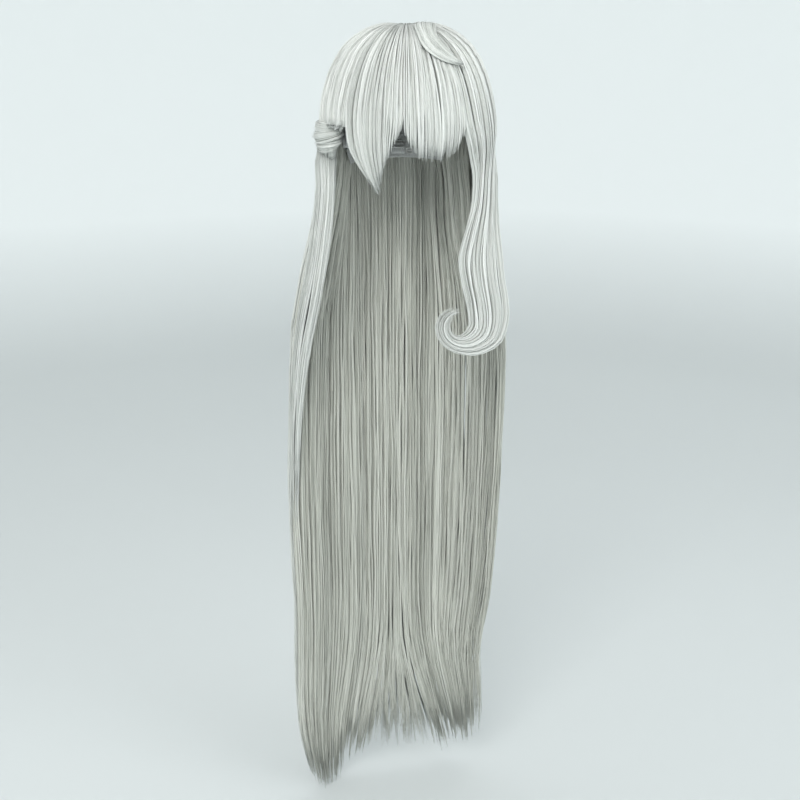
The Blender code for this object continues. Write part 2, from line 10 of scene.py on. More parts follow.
import bpy
import numpy as np
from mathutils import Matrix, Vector

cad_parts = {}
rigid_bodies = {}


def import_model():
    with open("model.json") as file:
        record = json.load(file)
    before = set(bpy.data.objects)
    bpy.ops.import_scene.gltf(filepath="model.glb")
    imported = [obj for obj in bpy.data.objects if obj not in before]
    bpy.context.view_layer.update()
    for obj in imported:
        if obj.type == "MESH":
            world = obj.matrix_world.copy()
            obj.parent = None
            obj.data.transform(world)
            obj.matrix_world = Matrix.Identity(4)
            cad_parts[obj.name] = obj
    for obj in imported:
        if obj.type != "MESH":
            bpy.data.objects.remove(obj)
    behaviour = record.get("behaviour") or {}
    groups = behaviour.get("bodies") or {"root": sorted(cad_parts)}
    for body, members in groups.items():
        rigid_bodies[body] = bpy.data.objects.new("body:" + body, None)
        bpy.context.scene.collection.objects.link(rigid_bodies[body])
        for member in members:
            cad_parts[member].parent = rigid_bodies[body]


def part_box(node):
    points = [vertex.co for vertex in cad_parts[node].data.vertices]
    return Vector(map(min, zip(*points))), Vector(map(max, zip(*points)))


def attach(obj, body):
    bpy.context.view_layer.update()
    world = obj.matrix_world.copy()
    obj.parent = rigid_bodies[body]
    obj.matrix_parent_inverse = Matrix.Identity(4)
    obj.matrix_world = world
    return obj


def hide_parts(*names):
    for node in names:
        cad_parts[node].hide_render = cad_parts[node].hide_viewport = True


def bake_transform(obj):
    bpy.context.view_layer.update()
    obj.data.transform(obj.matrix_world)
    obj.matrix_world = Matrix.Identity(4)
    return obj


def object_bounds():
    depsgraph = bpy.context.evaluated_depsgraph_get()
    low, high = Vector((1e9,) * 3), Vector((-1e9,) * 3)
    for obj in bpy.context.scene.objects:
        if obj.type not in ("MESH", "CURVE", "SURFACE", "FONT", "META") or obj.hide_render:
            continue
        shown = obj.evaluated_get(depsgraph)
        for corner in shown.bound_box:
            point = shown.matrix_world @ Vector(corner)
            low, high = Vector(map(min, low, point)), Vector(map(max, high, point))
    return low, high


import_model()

cad_low, cad_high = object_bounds()

# The head that the cap is cut for: half width, half length and rise to the crown
HEAD = (0.076, 0.094, 0.100)
CLOTH = 0.0008

# The wearer's sides and which way along x each lies
SIDES = (("left", 1), ("right", -1))

# How deep a layer of combed hair is
HAIR_DEEP = 0.0085

# ------------ places


def on_head(bearing, fall, height):
    """The point above the head at two angles in degrees; takes arrays too."""
    b, f, h = np.radians(bearing), np.radians(fall), np.asarray(height)
    x = (HEAD[0] + h) * np.sin(f) * np.sin(b)
    y = -(HEAD[1] + h) * np.sin(f) * np.cos(b)
    z = (HEAD[2] + h) * np.cos(f) - HEAD[2]
    return np.stack([x, y, z], axis=-1)


def middle_of(node):
    low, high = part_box(node)
    return (low + high) / 2


def smooth_through(points, per_span=10):
    """A Catmull-Rom curve through the points."""
    p = np.asarray(points, float)
    p = np.concatenate([2 * p[:1] - p[1:2], p, 2 * p[-1:] - p[-2:-1]])
    t = (np.arange(per_span) / per_span)[:, None]
    spans = []
    for a, b, c, d in zip(p, p[1:], p[2:], p[3:]):
        spans.append(
            0.5 * (2 * b + (c - a) * t + (2 * a - 5 * b + 4 * c - d) * t**2
                   + (3 * b - a - 3 * c + d) * t**3)
        )
    return np.concatenate(spans + [p[-2:-1]])


def read_line(line, along, at):
    """The points of a line at places along it, straight between its own points."""
    return np.stack([np.interp(at, along, field) for field in line.T], axis=-1)


def distances(lines):
    """How far along the lines (place, line, 3) each place lies, on average."""
    steps = np.linalg.norm(np.diff(lines, axis=0), axis=-1).mean(axis=1)
    return np.concatenate([[0.0], np.cumsum(steps)])


def evenly(lines, count):
    """The lines with their places evenly spaced, on average."""
    along = distances(lines)
    spread = read_line(lines.reshape(len(lines), -1), along, np.linspace(0.0, along[-1], count))
    return spread.reshape(count, *lines.shape[1:])


# ------------ guides: the surfaces that hair follows

ALONG, ACROSS = 121, 33
HEAD_MIDDLE = np.array([0.0, 0.0, -HEAD[2]])


class Guide:
    """A surface that hair is combed along: columns run from the roots to the tips."""

    def __init__(self, columns, closed=False):
        lines = evenly(np.stack([smooth_through(c) for c in columns], axis=1), ALONG)
        if closed:
            lines = np.concatenate([lines, lines[:, :1]], axis=1)
        rows = [smooth_through(row) for row in lines]
        index = np.linspace(0, len(rows[0]) - 1, ACROSS)
        self.places = np.stack([read_line(row, np.arange(len(row)), index) for row in rows])
        down = np.gradient(self.places, axis=0)
        side = np.gradient(self.places, axis=1)
        normal = np.cross(down, side)
        normal /= np.linalg.norm(normal, axis=-1, keepdims=True) + 1e-12
        if closed:
            away = self.places - self.places.mean(axis=1, keepdims=True)
        else:
            away = self.places[: ALONG // 4] - HEAD_MIDDLE
        sign = np.sum(normal[: len(away)] * away)
        self.normals = normal * np.sign(sign)
        self.closed = closed
        self.length = float(np.linalg.norm(down, axis=-1).sum(axis=0).mean())

    def read(self, field, across, along):
        """field at shares across and along, straight between the table's places."""
        r = np.clip(along, 0, 1) * (ALONG - 1)
        c = (across % 1.0 if self.closed else np.clip(across, 0, 1)) * (ACROSS - 1)
        r0 = np.minimum(r.astype(int), ALONG - 2)
        c0 = np.minimum(c.astype(int), ACROSS - 2)
        fr, fc = (r - r0)[..., None], (c - c0)[..., None]
        top = field[r0, c0] * (1 - fc) + field[r0, c0 + 1] * fc
        low = field[r0 + 1, c0] * (1 - fc) + field[r0 + 1, c0 + 1] * fc
        return top * (1 - fr) + low * fr


def ring_columns(middles, wide, deep, across, count=8):
    """Columns round a lock: middles is its centre line, with half sizes and its wide direction."""
    middles = np.asarray(middles, float)
    run = np.gradient(middles, axis=0)
    run /= np.linalg.norm(run, axis=1, keepdims=True)
    across = np.asarray(across, float)
    out = np.cross(run, across)
    out /= np.linalg.norm(out, axis=1, keepdims=True)
    across = across * np.asarray(wide)[:, None]
    out *= np.asarray(deep)[:, None]
    turns = 2 * pi * np.arange(count) / count
    return [middles + across * cos(turn) + out * sin(turn) for turn in turns]


# ------------ strands

# A clump's width, as a share of the room that it has, and a strand's thickness as a share of its width
CLUMP_SPREAD = (1.0, 2.1)
FLATNESS = 0.7


def add_object(name, data):
    """A new object in the scene that shows this mesh, lamp or camera."""
    shown = bpy.data.objects.new(name, data)
    bpy.context.scene.collection.objects.link(shown)
    return shown


def make_piece(name, mesh, finish):
    """A piece of the wig, with its material."""
    mesh.materials.append(material(finish))
    piece = add_object(name, mesh)
    return piece


def tube_mesh(name, paths, normals, radius, attributes):
    """Closed three-sided tubes along paths (strand, ring, 3); radius is (strand, ring)."""
    count, rings = paths.shape[:2]
    run = np.gradient(paths, axis=1)
    run /= np.linalg.norm(run, axis=-1, keepdims=True) + 1e-12
    side = np.cross(run, normals)
    side /= np.linalg.norm(side, axis=-1, keepdims=True) + 1e-12
    rise = np.cross(side, run)
    roll = attributes["tint"][:, None] * 40.0
    side *= radius[..., None]
    rise *= radius[..., None] * FLATNESS
    corners = [paths + side * np.cos(turn)[..., None] + rise * np.sin(turn)[..., None]
               for turn in (roll + 2 * pi * k / 3 for k in range(3))]
    points = np.stack(corners, axis=2).reshape(-1, 3)
    base = (np.arange(count)[:, None] * rings + np.arange(rings - 1)[None, :])[..., None] * 3
    k = np.arange(3)
    following = (k + 1) % 3
    quads = np.stack([base + k, base + following, base + 3 + following, base + 3 + k], -1)
    first = np.arange(count)[:, None] * rings * 3
    caps = np.concatenate([first + [0, 2, 1], first + (rings - 1) * 3 + [0, 1, 2]])
    loops = np.concatenate([quads.reshape(-1), caps.reshape(-1)]).astype(np.int32)
    quad_count, cap_count = quads.size // 4, caps.size // 3
    starts = np.concatenate(
        [np.arange(quad_count) * 4, quad_count * 4 + np.arange(cap_count) * 3]
    ).astype(np.int32)
    mesh = bpy.data.meshes.new(name)
    mesh.vertices.add(len(points))
    mesh.vertices.foreach_set("co", points.astype(np.float32).ravel())
    mesh.loops.add(len(loops))
    mesh.loops.foreach_set("vertex_index", loops)
    mesh.polygons.add(len(starts))
    mesh.polygons.foreach_set("loop_start", starts)
    mesh.update(calc_edges=True)
    mesh.shade_smooth()
    reach = np.linspace(0, attributes.get("length", 1.0), rings)
    along = np.broadcast_to(reach[None, :, None], (count, rings, 3))
    tint = np.broadcast_to(attributes["tint"][:, None, None], (count, rings, 3))
    for key, values in (("tint", tint), ("along", along)):
        layer = mesh.attributes.new(key, "FLOAT", "POINT")
        layer.data.foreach_set("value", np.ascontiguousarray(values, np.float32).ravel())
    return mesh


def comb(name, guide, count, clumps, seed, width=0.0009, deep=HAIR_DEEP, rings=26, pinch=0.5,
         ragged=0.12, ends=None, loose=0.03, wave=0.0012, root=0.03, finish="hair", thin_tip=0.35,
         shade=0.0, twist=0.0, draw=0.5):
    """One piece of combed hair: strands in clumps that thin out and draw together to their tips.

    ends gives the share of the guide's length that a strand may reach, by its share across.
    """
    rng = np.random.default_rng(seed)
    places = (np.arange(clumps) + 0.5) / clumps
    clump_at = places + rng.uniform(-0.4, 0.4, clumps) / clumps
    clump_half = 0.5 / clumps * rng.uniform(*CLUMP_SPREAD, clumps)
    clump_deep = rng.choice([0.26, 0.5, 0.74], clumps)
    clump_reach = 1.0 - ragged * rng.uniform(0.0, 0.8, clumps)
    clump_tint = rng.uniform(0.0, 1.0, clumps)
    clump_phase = rng.uniform(0.0, 2 * pi, (clumps, 3))
    owner = rng.integers(0, clumps, count)
    turn = rng.uniform(0.0, 2 * pi, count)
    reach = np.sqrt(rng.uniform(0.15, 1.0, count))
    s, w = reach * np.cos(turn), reach * np.sin(turn)
    t = np.linspace(0.0, 1.0, rings) if np.isscalar(rings) else np.asarray(rings)
    t = t[None, :]
    start = root * rng.uniform(0.0, 1.0, count)
    stop = clump_reach[owner] * (1.0 - ragged * rng.beta(1.2, 2.4, count) - 0.25 * ragged * s**2)
    if ends is not None:
        stop = stop * ends(clump_at[owner] + s * clump_half[owner], rng.uniform(0, 1, count))
    along = start[:, None] + (stop - start)[:, None] * t
    close = 1.0 - pinch * np.clip((t - draw) / (1.0 - draw), 0.0, 1.0) ** 1.6
    sway = sum(
        np.sin(2 * pi * rate * along * guide.length / 0.3 + clump_phase[owner, k][:, None])
        for k, rate in enumerate((0.6, 1.1, 1.9))
    )
    own = rng.uniform(0.0, 2 * pi, (count, 2))
    quiver = np.sin(2 * pi * 1.4 * t + own[:, :1]) + np.sin(2 * pi * 3.1 * t + own[:, 1:])
    span = float(np.linalg.norm(np.diff(guide.places[ALONG // 2], axis=0), axis=-1).sum())
    across = (
        clump_at[owner][:, None]
        + (s * clump_half[owner])[:, None] * close
        + (sway * 0.55 + quiver * 0.18) * wave / span * np.clip(t * 4, 0, 1)
    )
    across = across + twist * t if guide.closed else np.clip(across, 0.002, 0.998)
    spot = guide.read(guide.places, across, along)
    normal = guide.read(guide.normals, across, along)
    normal /= np.linalg.norm(normal, axis=-1, keepdims=True) + 1e-12
    body = np.clip(t * 7, 0.35, 1.0) * (1.0 - (1.0 - thin_tip) * np.clip((t - 0.6) / 0.4, 0, 1))
    level = clump_deep[owner] + 0.27 * w
    stray = (rng.uniform(0, 1, count) < loose) * rng.uniform(0.2, 1.0, count)
    down = deep * level[:, None] * body - stray[:, None] * 0.003 * np.sin(pi * t) ** 0.7
    spot = spot - normal * down[..., None]
    grow = np.clip(0.55 + t * 5, 0, 1) * (1.0 - 0.8 * np.clip((t - 0.82) / 0.18, 0, 1) ** 1.5)
    fine = 1.0 - 0.5 * (stray > 0)
    radius = 0.5 * width * grow * (rng.uniform(0.75, 1.25, count) * fine)[:, None]
    # Painted shade: strands that lie deeper in the hair are painted darker by their level, and shade
    # darkens the whole piece with painted shade
    tint = 0.55 * clump_tint[owner] + 0.45 * rng.uniform(0, 1, count) - 0.25 * level - shade
    mesh = tube_mesh(name, spot, normal, radius, {"tint": tint, "length": guide.length})
    return make_piece(name, mesh, finish)


# ------------ materials

made = {}


def material(name):
    """Each finish is made once, by the function that RECIPES names for it, with its values."""
    if name not in made:
        made[name] = bpy.data.materials.new(name)
        made[name].use_nodes = True
        tree = made[name].node_tree
        recipe, *values = RECIPES[name]
        recipe(tree, tree.nodes["Principled BSDF"], *values)
    return made[name]


def add(tree, kind, settings=(), **inputs):
    """A shader node with its settings and its inputs' values or links; i0 is its first input."""
    node = tree.nodes.new("ShaderNode" + kind)
    for key, value in dict(settings).items():
        setattr(node, key, value)
    for key, value in inputs.items():
        socket = node.inputs[int(key[1:])] if key[0] == "i" and key[1:].isdigit() else node.inputs[key]
        if isinstance(value, bpy.types.NodeSocket):
            tree.links.new(value, socket)
        else:
            socket.default_value = value
    return node


def math(tree, operation, a, b=0.0):
    return add(tree, "Math", {"operation": operation}, i0=a, i1=b).outputs[0]


def plus(tree, a, b):
    return math(tree, "ADD", a, b)


def times(tree, a, b):
    return math(tree, "MULTIPLY", a, b)


def noise_at(tree, place, scale, detail):
    return add(tree, "TexNoise", Vector=place, Scale=scale, Detail=detail).outputs["Fac"]


def ramp(tree, factor, colours):
    node = add(tree, "ValToRGB", Fac=factor)
    steps = node.color_ramp.elements
    while len(steps) < len(colours):
        steps.new(0.5)
    for step, (place, colour) in zip(steps, colours):
        step.position = place
        step.color = (*colour, 1.0)
    return node.outputs[0]


def darker(colour, share):
    return tuple(part * share for part in colour)


def dress(tree, shader, colour, height, strength, depth, smoothest, noise, spread=0.2):
    """Gives the shader a colour, a bump from a height field and a roughness that varies with noise."""
    bump = add(tree, "Bump", Height=height, Strength=strength, Distance=depth)
    rough = plus(tree, smoothest, times(tree, noise, spread))
    for value, socket in ((colour, "Base Color"), (bump.outputs[0], "Normal"), (rough, "Roughness")):
        tree.links.new(value, shader.inputs[socket])


# How far from its root a strand is shaded by its neighbours
ROOT_SHADE = 0.052


def hair_recipe(tree, shader, dark, mid, light, root):
    """Silver fibre: each strand its own tone, darker where it lies deep and towards its root with painted
    shade, and with faint lengthwise streaks.
    """
    tint = add(tree, "Attribute", {"attribute_name": "tint"}).outputs["Fac"]
    along = add(tree, "Attribute", {"attribute_name": "along"}).outputs["Fac"]
    spot = add(tree, "TexCoord").outputs["Object"]
    squash = add(tree, "Mapping", i0=spot, i3=(260.0, 260.0, 9.0)).outputs[0]
    streak = noise_at(tree, squash, 1.0, 2.0)
    shade = plus(tree, tint, times(tree, streak, 0.35))
    colour = ramp(tree, shade, [(0.0, dark), (0.45, mid), (1.0, light)])
    # Painted shade at the root: the colour darkens towards each strand's root, over ROOT_SHADE along it,
    # by the recipe's root share
    near_root = math(tree, "SUBTRACT", 1.0, times(tree, along, 1.0 / ROOT_SHADE))
    painted_root_shade = times(tree, math(tree, "MAXIMUM", near_root, 0.0), root)
    mix = add(tree, "Mix", {"data_type": "RGBA"}, i0=painted_root_shade, i6=colour,
              i7=(*darker(dark, 0.45), 1.0))
    dress(tree, shader, mix.outputs[2], streak, 0.15, 0.0003, 0.34, streak)
    shader.inputs["Specular IOR Level"].default_value = 0.45


# Each hair finish: dark, middle and light colours, and how much painted shade darkens the root. The under
# finish is a darker copy of the hair's colours, painted shade for the hair that lies underneath.
RECIPES = {
    "hair": (hair_recipe, (0.54, 0.56, 0.53), (0.755, 0.772, 0.738), (0.89, 0.9, 0.875), 0.6),
    "hair_under": (hair_recipe, (0.43, 0.44, 0.395), (0.655, 0.662, 0.6), (0.83, 0.835, 0.775), 0.7),
}

# ------------ camera, light and backdrop

# The camera stands before the face, a little to the wearer's right, and looks down
CAMERA_TURN = radians(-14.0)
CAMERA_REACH = 1.45
CAMERA_HEIGHT = 0.091
CAMERA_PITCH = radians(20.0)
CAMERA_LENS = 55.35
CAMERA_SWAY = 0.0049
# The floor lies this far under the longest tips, and curves up into a round wall
FLOOR_GAP = 0.006
WALL_REACH = 3.4
WALL_HEIGHT = 3.4
WALL_SIDES = 72
COVE = 1.2
COVE_STEPS = 12


def set_camera():
    data = bpy.data.cameras.new("camera")
    data.lens = CAMERA_LENS
    data.sensor_width = 36.0
    data.clip_start = 0.05
    camera = add_object("camera", data)
    camera.location = (CAMERA_REACH * sin(CAMERA_TURN), -CAMERA_REACH * cos(CAMERA_TURN), CAMERA_HEIGHT)
    camera.rotation_euler = (pi / 2 - CAMERA_PITCH, 0.0, CAMERA_TURN + CAMERA_SWAY)
    bpy.context.scene.camera = camera


def set_backdrop():
    """One pale sheet all round: the floor, a cove and a wall, turned about the wig."""
    floor = cad_low.z - FLOOR_GAP
    profile = [(0.001, floor), (1.2, floor), (WALL_REACH - COVE, floor)]
    for step in range(1, COVE_STEPS + 1):
        turn = pi / 2 * step / COVE_STEPS
        profile.append((WALL_REACH - COVE + COVE * sin(turn), floor + COVE * (1 - cos(turn))))
    profile.append((WALL_REACH, floor + WALL_HEIGHT))
    turns = np.linspace(0, 2 * pi, WALL_SIDES, endpoint=False)
    points, faces = [], []
    for reach, z in profile:
        points += [(reach * cos(turn), reach * sin(turn), z) for turn in turns]
    for i in range(len(profile) - 1):
        for k in range(WALL_SIDES):
            a, b = i * WALL_SIDES + k, i * WALL_SIDES + (k + 1) % WALL_SIDES
            faces.append((a, a + WALL_SIDES, b + WALL_SIDES, b))
    mesh = bpy.data.meshes.new("backdrop")
    mesh.from_pydata(points, [], faces)
    mesh.shade_smooth()
    mesh.materials.append(material("backdrop"))
    sheet = add_object("backdrop", mesh)


def backdrop_recipe(tree, shader):
    spot = add(tree, "TexCoord").outputs["Object"]
    cloud = noise_at(tree, spot, 0.7, 1.0)
    height = add(tree, "SeparateXYZ", i0=spot).outputs[2]
    rise = math(tree, "SUBTRACT", height, cad_low.z)
    place = plus(tree, math(tree, "DIVIDE", rise, COVE), times(tree, cloud, 0.1))
    # Painted shade: the floor and the foot of the cove are painted darker than the wall, with a faint
    # noise mottle
    colour = ramp(tree, place, [(0.02, (0.62, 0.648, 0.648)), (0.28, (0.89, 0.92, 0.92))])
    tree.links.new(colour, shader.inputs["Base Color"])
    shader.inputs["Roughness"].default_value = 0.9
    shader.inputs["Specular IOR Level"].default_value = 0.1


RECIPES["backdrop"] = (backdrop_recipe,)


def area_light(name, place, aim, size, power, colour):
    data = bpy.data.lights.new(name, "AREA")
    data.shape = "RECTANGLE"
    data.size, data.size_y = size
    data.energy = power
    data.color = colour
    lamp = add_object(name, data)
    lamp.location = place
    lamp.rotation_euler = (Vector(aim) - Vector(place)).to_track_quat("-Z", "Y").to_euler()


def set_lights():
    world = bpy.data.worlds.new("studio")
    bpy.context.scene.world = world
    world.use_nodes = True
    sky = world.node_tree.nodes["Background"]
    sky.inputs["Color"].default_value = (0.95, 0.985, 1.0, 1.0)
    sky.inputs["Strength"].default_value = 0.62
    middle = (0.0, 0.0, -0.35)
    area_light("key", (-1.3, -2.2, 1.7), middle, (1.6, 1.6), 48.0, (1.0, 1.0, 0.98))
    area_light("fill", (1.8, -1.9, 0.5), middle, (1.6, 2.0), 20.0, (0.95, 0.98, 1.0))
    area_light("top", (0.0, 0.2, 2.1), (0.0, 0.0, 0.0), (2.2, 2.2), 16.0, (0.97, 1.0, 1.0))
    bpy.context.scene.view_settings.view_transform = "Standard"


# ------------ hair on the head

# How high the outside of the hair lies at each fall, and how much more over each side of the head
CROWN_FALLS = (2.5, 9, 18, 30, 44, 58)
CROWN_HEIGHTS = (0.014, 0.0168, 0.0184, 0.0184, 0.0175, 0.0165)
SIDE_PUFF = {"right": 0.0098, "left": 0.0134}


def crown_height(bearing, falls):
    """How high the outside of the hair lies above the head."""
    return np.interp(falls, CROWN_FALLS, CROWN_HEIGHTS) + side_puff(bearing, falls)


def crown_run(bearing):
    """The first part of a column, from the whorl outwards."""
    return on_head(bearing, CROWN_FALLS, crown_height(bearing, CROWN_FALLS))


def side_puff(bearing, falls):
    """How much further out the hair stands over the sides of the head."""
    share = np.sin(np.radians(bearing))
    puff = np.where(share > 0, SIDE_PUFF["left"], SIDE_PUFF["right"])
    return puff * share**2 * np.clip((np.asarray(falls) - 8) / 34, 0, 1)


def on_head_column(bearing, later):
    """A column from the whorl at one bearing, and then through (bearing, fall, height) stops."""
    later = np.array(later, float)
    heights = later[:, 2] + side_puff(later[:, 0], later[:, 1])
    return np.concatenate([crown_run(bearing), on_head(later[:, 0], later[:, 1], heights)])


def hang(piece, body, start, end, *nodes):
    """A piece that is rooted in the cap: the CAD nodes that it stands for are hidden and its transform is
    baked in.
    """
    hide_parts(*nodes)
    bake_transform(piece)


def comb_fringe():
    """The middle of the fringe, cut a little ragged just over the eyes."""
    columns = []
    for bearing, last in ((-18, 88), (-13.5, 96), (-8, 102), (0, 104), (8, 104.5), (15, 103),
                          (22, 100), (28.5, 91)):
        later = [(bearing, 70, 0.015), (bearing, 79, 0.0142)]
        later += [(bearing, 79 + (last - 79) * 0.5, 0.013), (bearing * 0.97, last, 0.0115)]
        columns.append(on_head_column(bearing, later))
    piece = comb("fringe_strands", Guide(columns), 1380, 46, 11, width=0.00085, rings=22,
                 deep=0.0065, pinch=0.25, ragged=0.055, wave=0.0008)
    hang(piece, "fringe", (0.0, -0.08, -0.04), (0.0, -0.096, -0.068), "fringe_centre")


def comb_right_lock():
    """The long pointed lock in front of the wearer's right cheek."""
    runs = (
        ((-61, 75, 0.0152), (-57.5, 93, 0.015), (-51, 105, 0.0138), (-43.5, 118, 0.0115)),
        ((-56, 75, 0.0152), (-54, 92, 0.015), (-49, 106, 0.0136), (-41.5, 122, 0.011)),
        ((-50.5, 75, 0.0152), (-49.5, 90, 0.0148), (-46, 107, 0.0135), (-40.5, 125, 0.011)),
        ((-44.5, 75, 0.0152), (-44, 93, 0.0146), (-42, 110, 0.013), (-39.5, 125, 0.011)),
        ((-38, 75, 0.0152), (-37.5, 93, 0.0144), (-37, 105, 0.013), (-37, 118, 0.011)),
        ((-31, 75, 0.0152), (-31.5, 88, 0.0144), (-32, 98, 0.013), (-33, 108, 0.011)),
        ((-25, 72, 0.0152), (-25, 80, 0.0144), (-26, 88, 0.013), (-27.5, 98, 0.011)),
        ((-18, 66, 0.0152), (-18.2, 72, 0.0146), (-18.8, 79, 0.0136), (-20.5, 87, 0.012)),
    )
    columns = [on_head_column(later[0][0], later) for later in runs]
    piece = comb("face_lock_strands", Guide(columns), 1380, 44, 12, width=0.00085, rings=22,
                 deep=0.008, pinch=0.3, ragged=0.05, wave=0.0008)
    hang(piece, "face_lock", (-0.048, -0.058, -0.04), (-0.054, -0.07, -0.068), "face_lock_right")


# How far the sheets of crown hair lie under the longer hair's outside
UNDER_DEPTH = 0.006


def comb_crown():
    """The hair sewn over the cap beneath the longer locks, in five sheets."""
    for seed, (name, first, last, bottom) in enumerate((
        ("front", -60.0, 28.6, 76), ("left", 28.6, 121.0, 86), ("back_left", 121.0, 180.0, 104),
        ("back_right", 180.0, 239.0, 104), ("right", -121.0, -61.0, 84),
    )):
        columns = []
        for bearing in np.linspace(first, last, 6):
            falls = (4.0, *CROWN_FALLS[1:], (CROWN_FALLS[-1] + bottom) / 2, bottom)
            heights = np.interp(falls, CROWN_FALLS, CROWN_HEIGHTS) + 0.6 * side_puff(bearing, falls)
            columns.append(on_head(bearing, falls, heights - UNDER_DEPTH))
        # shade here is painted shade: the crown hair lies under the longer locks
        piece = comb(f"crown_strands_{name}", Guide(columns), 620, 16, 40 + seed, width=0.0011,
                     deep=0.0045, rings=14, ragged=0.1, pinch=0.3, loose=0.0, shade=0.25)
        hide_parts(f"crown_hair_{name}")
        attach(piece, "cap")


# ------------ the side twist

# The knot's middle: the combed hair bulges a little inwards, forwards and up from the CAD's knot
KNOT = np.array(middle_of("side_knot")) + [0.004, -0.007, 0.0058]


def comb_into_knot():
    """The hair behind the right face lock, gathered down and back into the side twist."""
    columns = []
    for share in np.linspace(0.0, 1.0, 8):
        bow = 0.0155 * sin(pi * share)
        later = [(-59.5 - 62.5 * share, 66, 0.0155), (-60.0 - 57.0 * share, 76, 0.0155),
                 (-60.5 - 50.5 * share, 86, 0.0152)]
        pull = KNOT + [0.007 - 0.006 * share - bow, -0.033 + 0.07 * share, 0.0085]
        inside = KNOT + [0.0085 - 0.004 * share - 0.4 * bow, -0.009 + 0.028 * share, -0.004]
        columns.append(np.concatenate([on_head_column(-59.0 - 65.0 * share, later), [pull], [inside]]))
    piece = comb("crown_to_knot_strands", Guide(columns), 1350, 26, 21, rings=24, pinch=0.2,
                 ragged=0.02, deep=0.008, thin_tip=0.8)
    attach(piece, "cap")


def comb_knot():
    """The twist itself: hair wound round in three overlapping rolls, over a short core."""
    core = [KNOT + [0.0, 0.002, z] for z in np.linspace(0.016, -0.028, 6)]
    sideways = np.tile([0.0, 1.0, 0.0], (6, 1))
    guide = Guide(
        ring_columns(core, [0.013, 0.017, 0.019, 0.019, 0.016, 0.012],
                     [0.006, 0.008, 0.009, 0.009, 0.008, 0.007], sideways), closed=True)
    # shade here is painted shade for the core, which lies under the rolls
    piece = comb("knot_core_strands", guide, 420, 14, 22, rings=12, deep=0.004, ragged=0.05,
                 pinch=0.1, root=0.0, wave=0.0006, thin_tip=0.8, shade=0.15)
    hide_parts("side_knot")
    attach(piece, "cap")
    # Each roll: rise, reach out and forwards, half thickness, first and last turn, and its lean
    rolls = (
        ("upper", 0.0115, 0.0112, 0.0175, 0.0058, -165, 178, 0.3),
        ("middle", 0.0015, 0.0124, 0.019, 0.007, -175, 182, 0.34),
        ("lower", -0.0095, 0.0104, 0.017, 0.0058, -160, 176, 0.42),
    )
    for seed, (name, rise, out, fore, thick, first, last, lean) in enumerate(rolls):
        turns = np.radians(np.linspace(first, last, 16))
        path = KNOT + np.stack(
            [-out * np.cos(turns), -fore * np.sin(turns), rise - lean * out * np.cos(turns)], axis=-1)
        fat = 0.55 + 0.45 * np.clip(np.cos((turns - 0.6) * 0.6), 0, 1)
        upright = np.tile([0.0, 0.0, 1.0], (16, 1))
        guide = Guide(ring_columns(path, thick * 1.15 * fat, thick * fat, upright), closed=True)
        piece = comb(f"knot_roll_{name}", guide, 620, 24, 24 + seed, rings=30, deep=0.0034,
                     ragged=0.05, pinch=0.0, root=0.02, wave=0.0008, twist=0.28 - 0.5 * (seed == 1),
                     thin_tip=0.8, width=0.0008)
        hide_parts("knot_wrap")
        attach(piece, "cap")


def comb_tail():
    """The tail that falls from the twist and joins the right edge of the back hair."""
    middles = [(-0.093, 0.003, -0.116), (-0.0945, 0.005, -0.134), (-0.0965, 0.004, -0.172),
               (-0.103, 0.009, -0.23), (-0.114, 0.02, -0.3), (-0.124, 0.036, -0.37),
               (-0.131, 0.05, -0.45), (-0.135, 0.06, -0.56), (-0.136, 0.066, -0.68)]
    wide = [0.012, 0.0135, 0.0165, 0.0195, 0.02, 0.0175, 0.014, 0.01, 0.006]
    deep = [0.0095, 0.0122, 0.01, 0.0105, 0.0105, 0.009, 0.007, 0.005, 0.003]
    sideways = np.tile([-0.25, 0.968, 0.0], (len(middles), 1))
    guide = Guide(ring_columns(middles, wide, deep, sideways), closed=True)
    piece = comb("knot_tail_strands", guide, 1350, 44, 28, rings=24, deep=0.006, pinch=0.2,
                 ragged=0.3, root=0.0, wave=0.0012)
    hang(piece, "back_hair_right", (-0.09, 0.004, -0.122), (-0.1, 0.006, -0.17), "knot_tail")


# ------------ the left side lock and the leaf

CURL_EYE = np.array([0.05, -0.064, -0.322])
CURL_TURNS = (0, -28, -58, -88, -118, -150, -185, -220, -255, -285)
CURL_INNER = (0.0096, 0.01, 0.0115, 0.013, 0.0125, 0.0105, 0.009, 0.0095, 0.011, 0.012)
CURL_OUTER = (0.062, 0.06, 0.049, 0.039, 0.0345, 0.0325, 0.031, 0.027, 0.0215, 0.0165)


def curl_ends(across, luck):
    """How far round the curl a strand reaches: the inner ones stop a little sooner."""
    return np.where(across < 0.3, 0.93 + 0.07 * luck, 0.97 + 0.03 * luck)


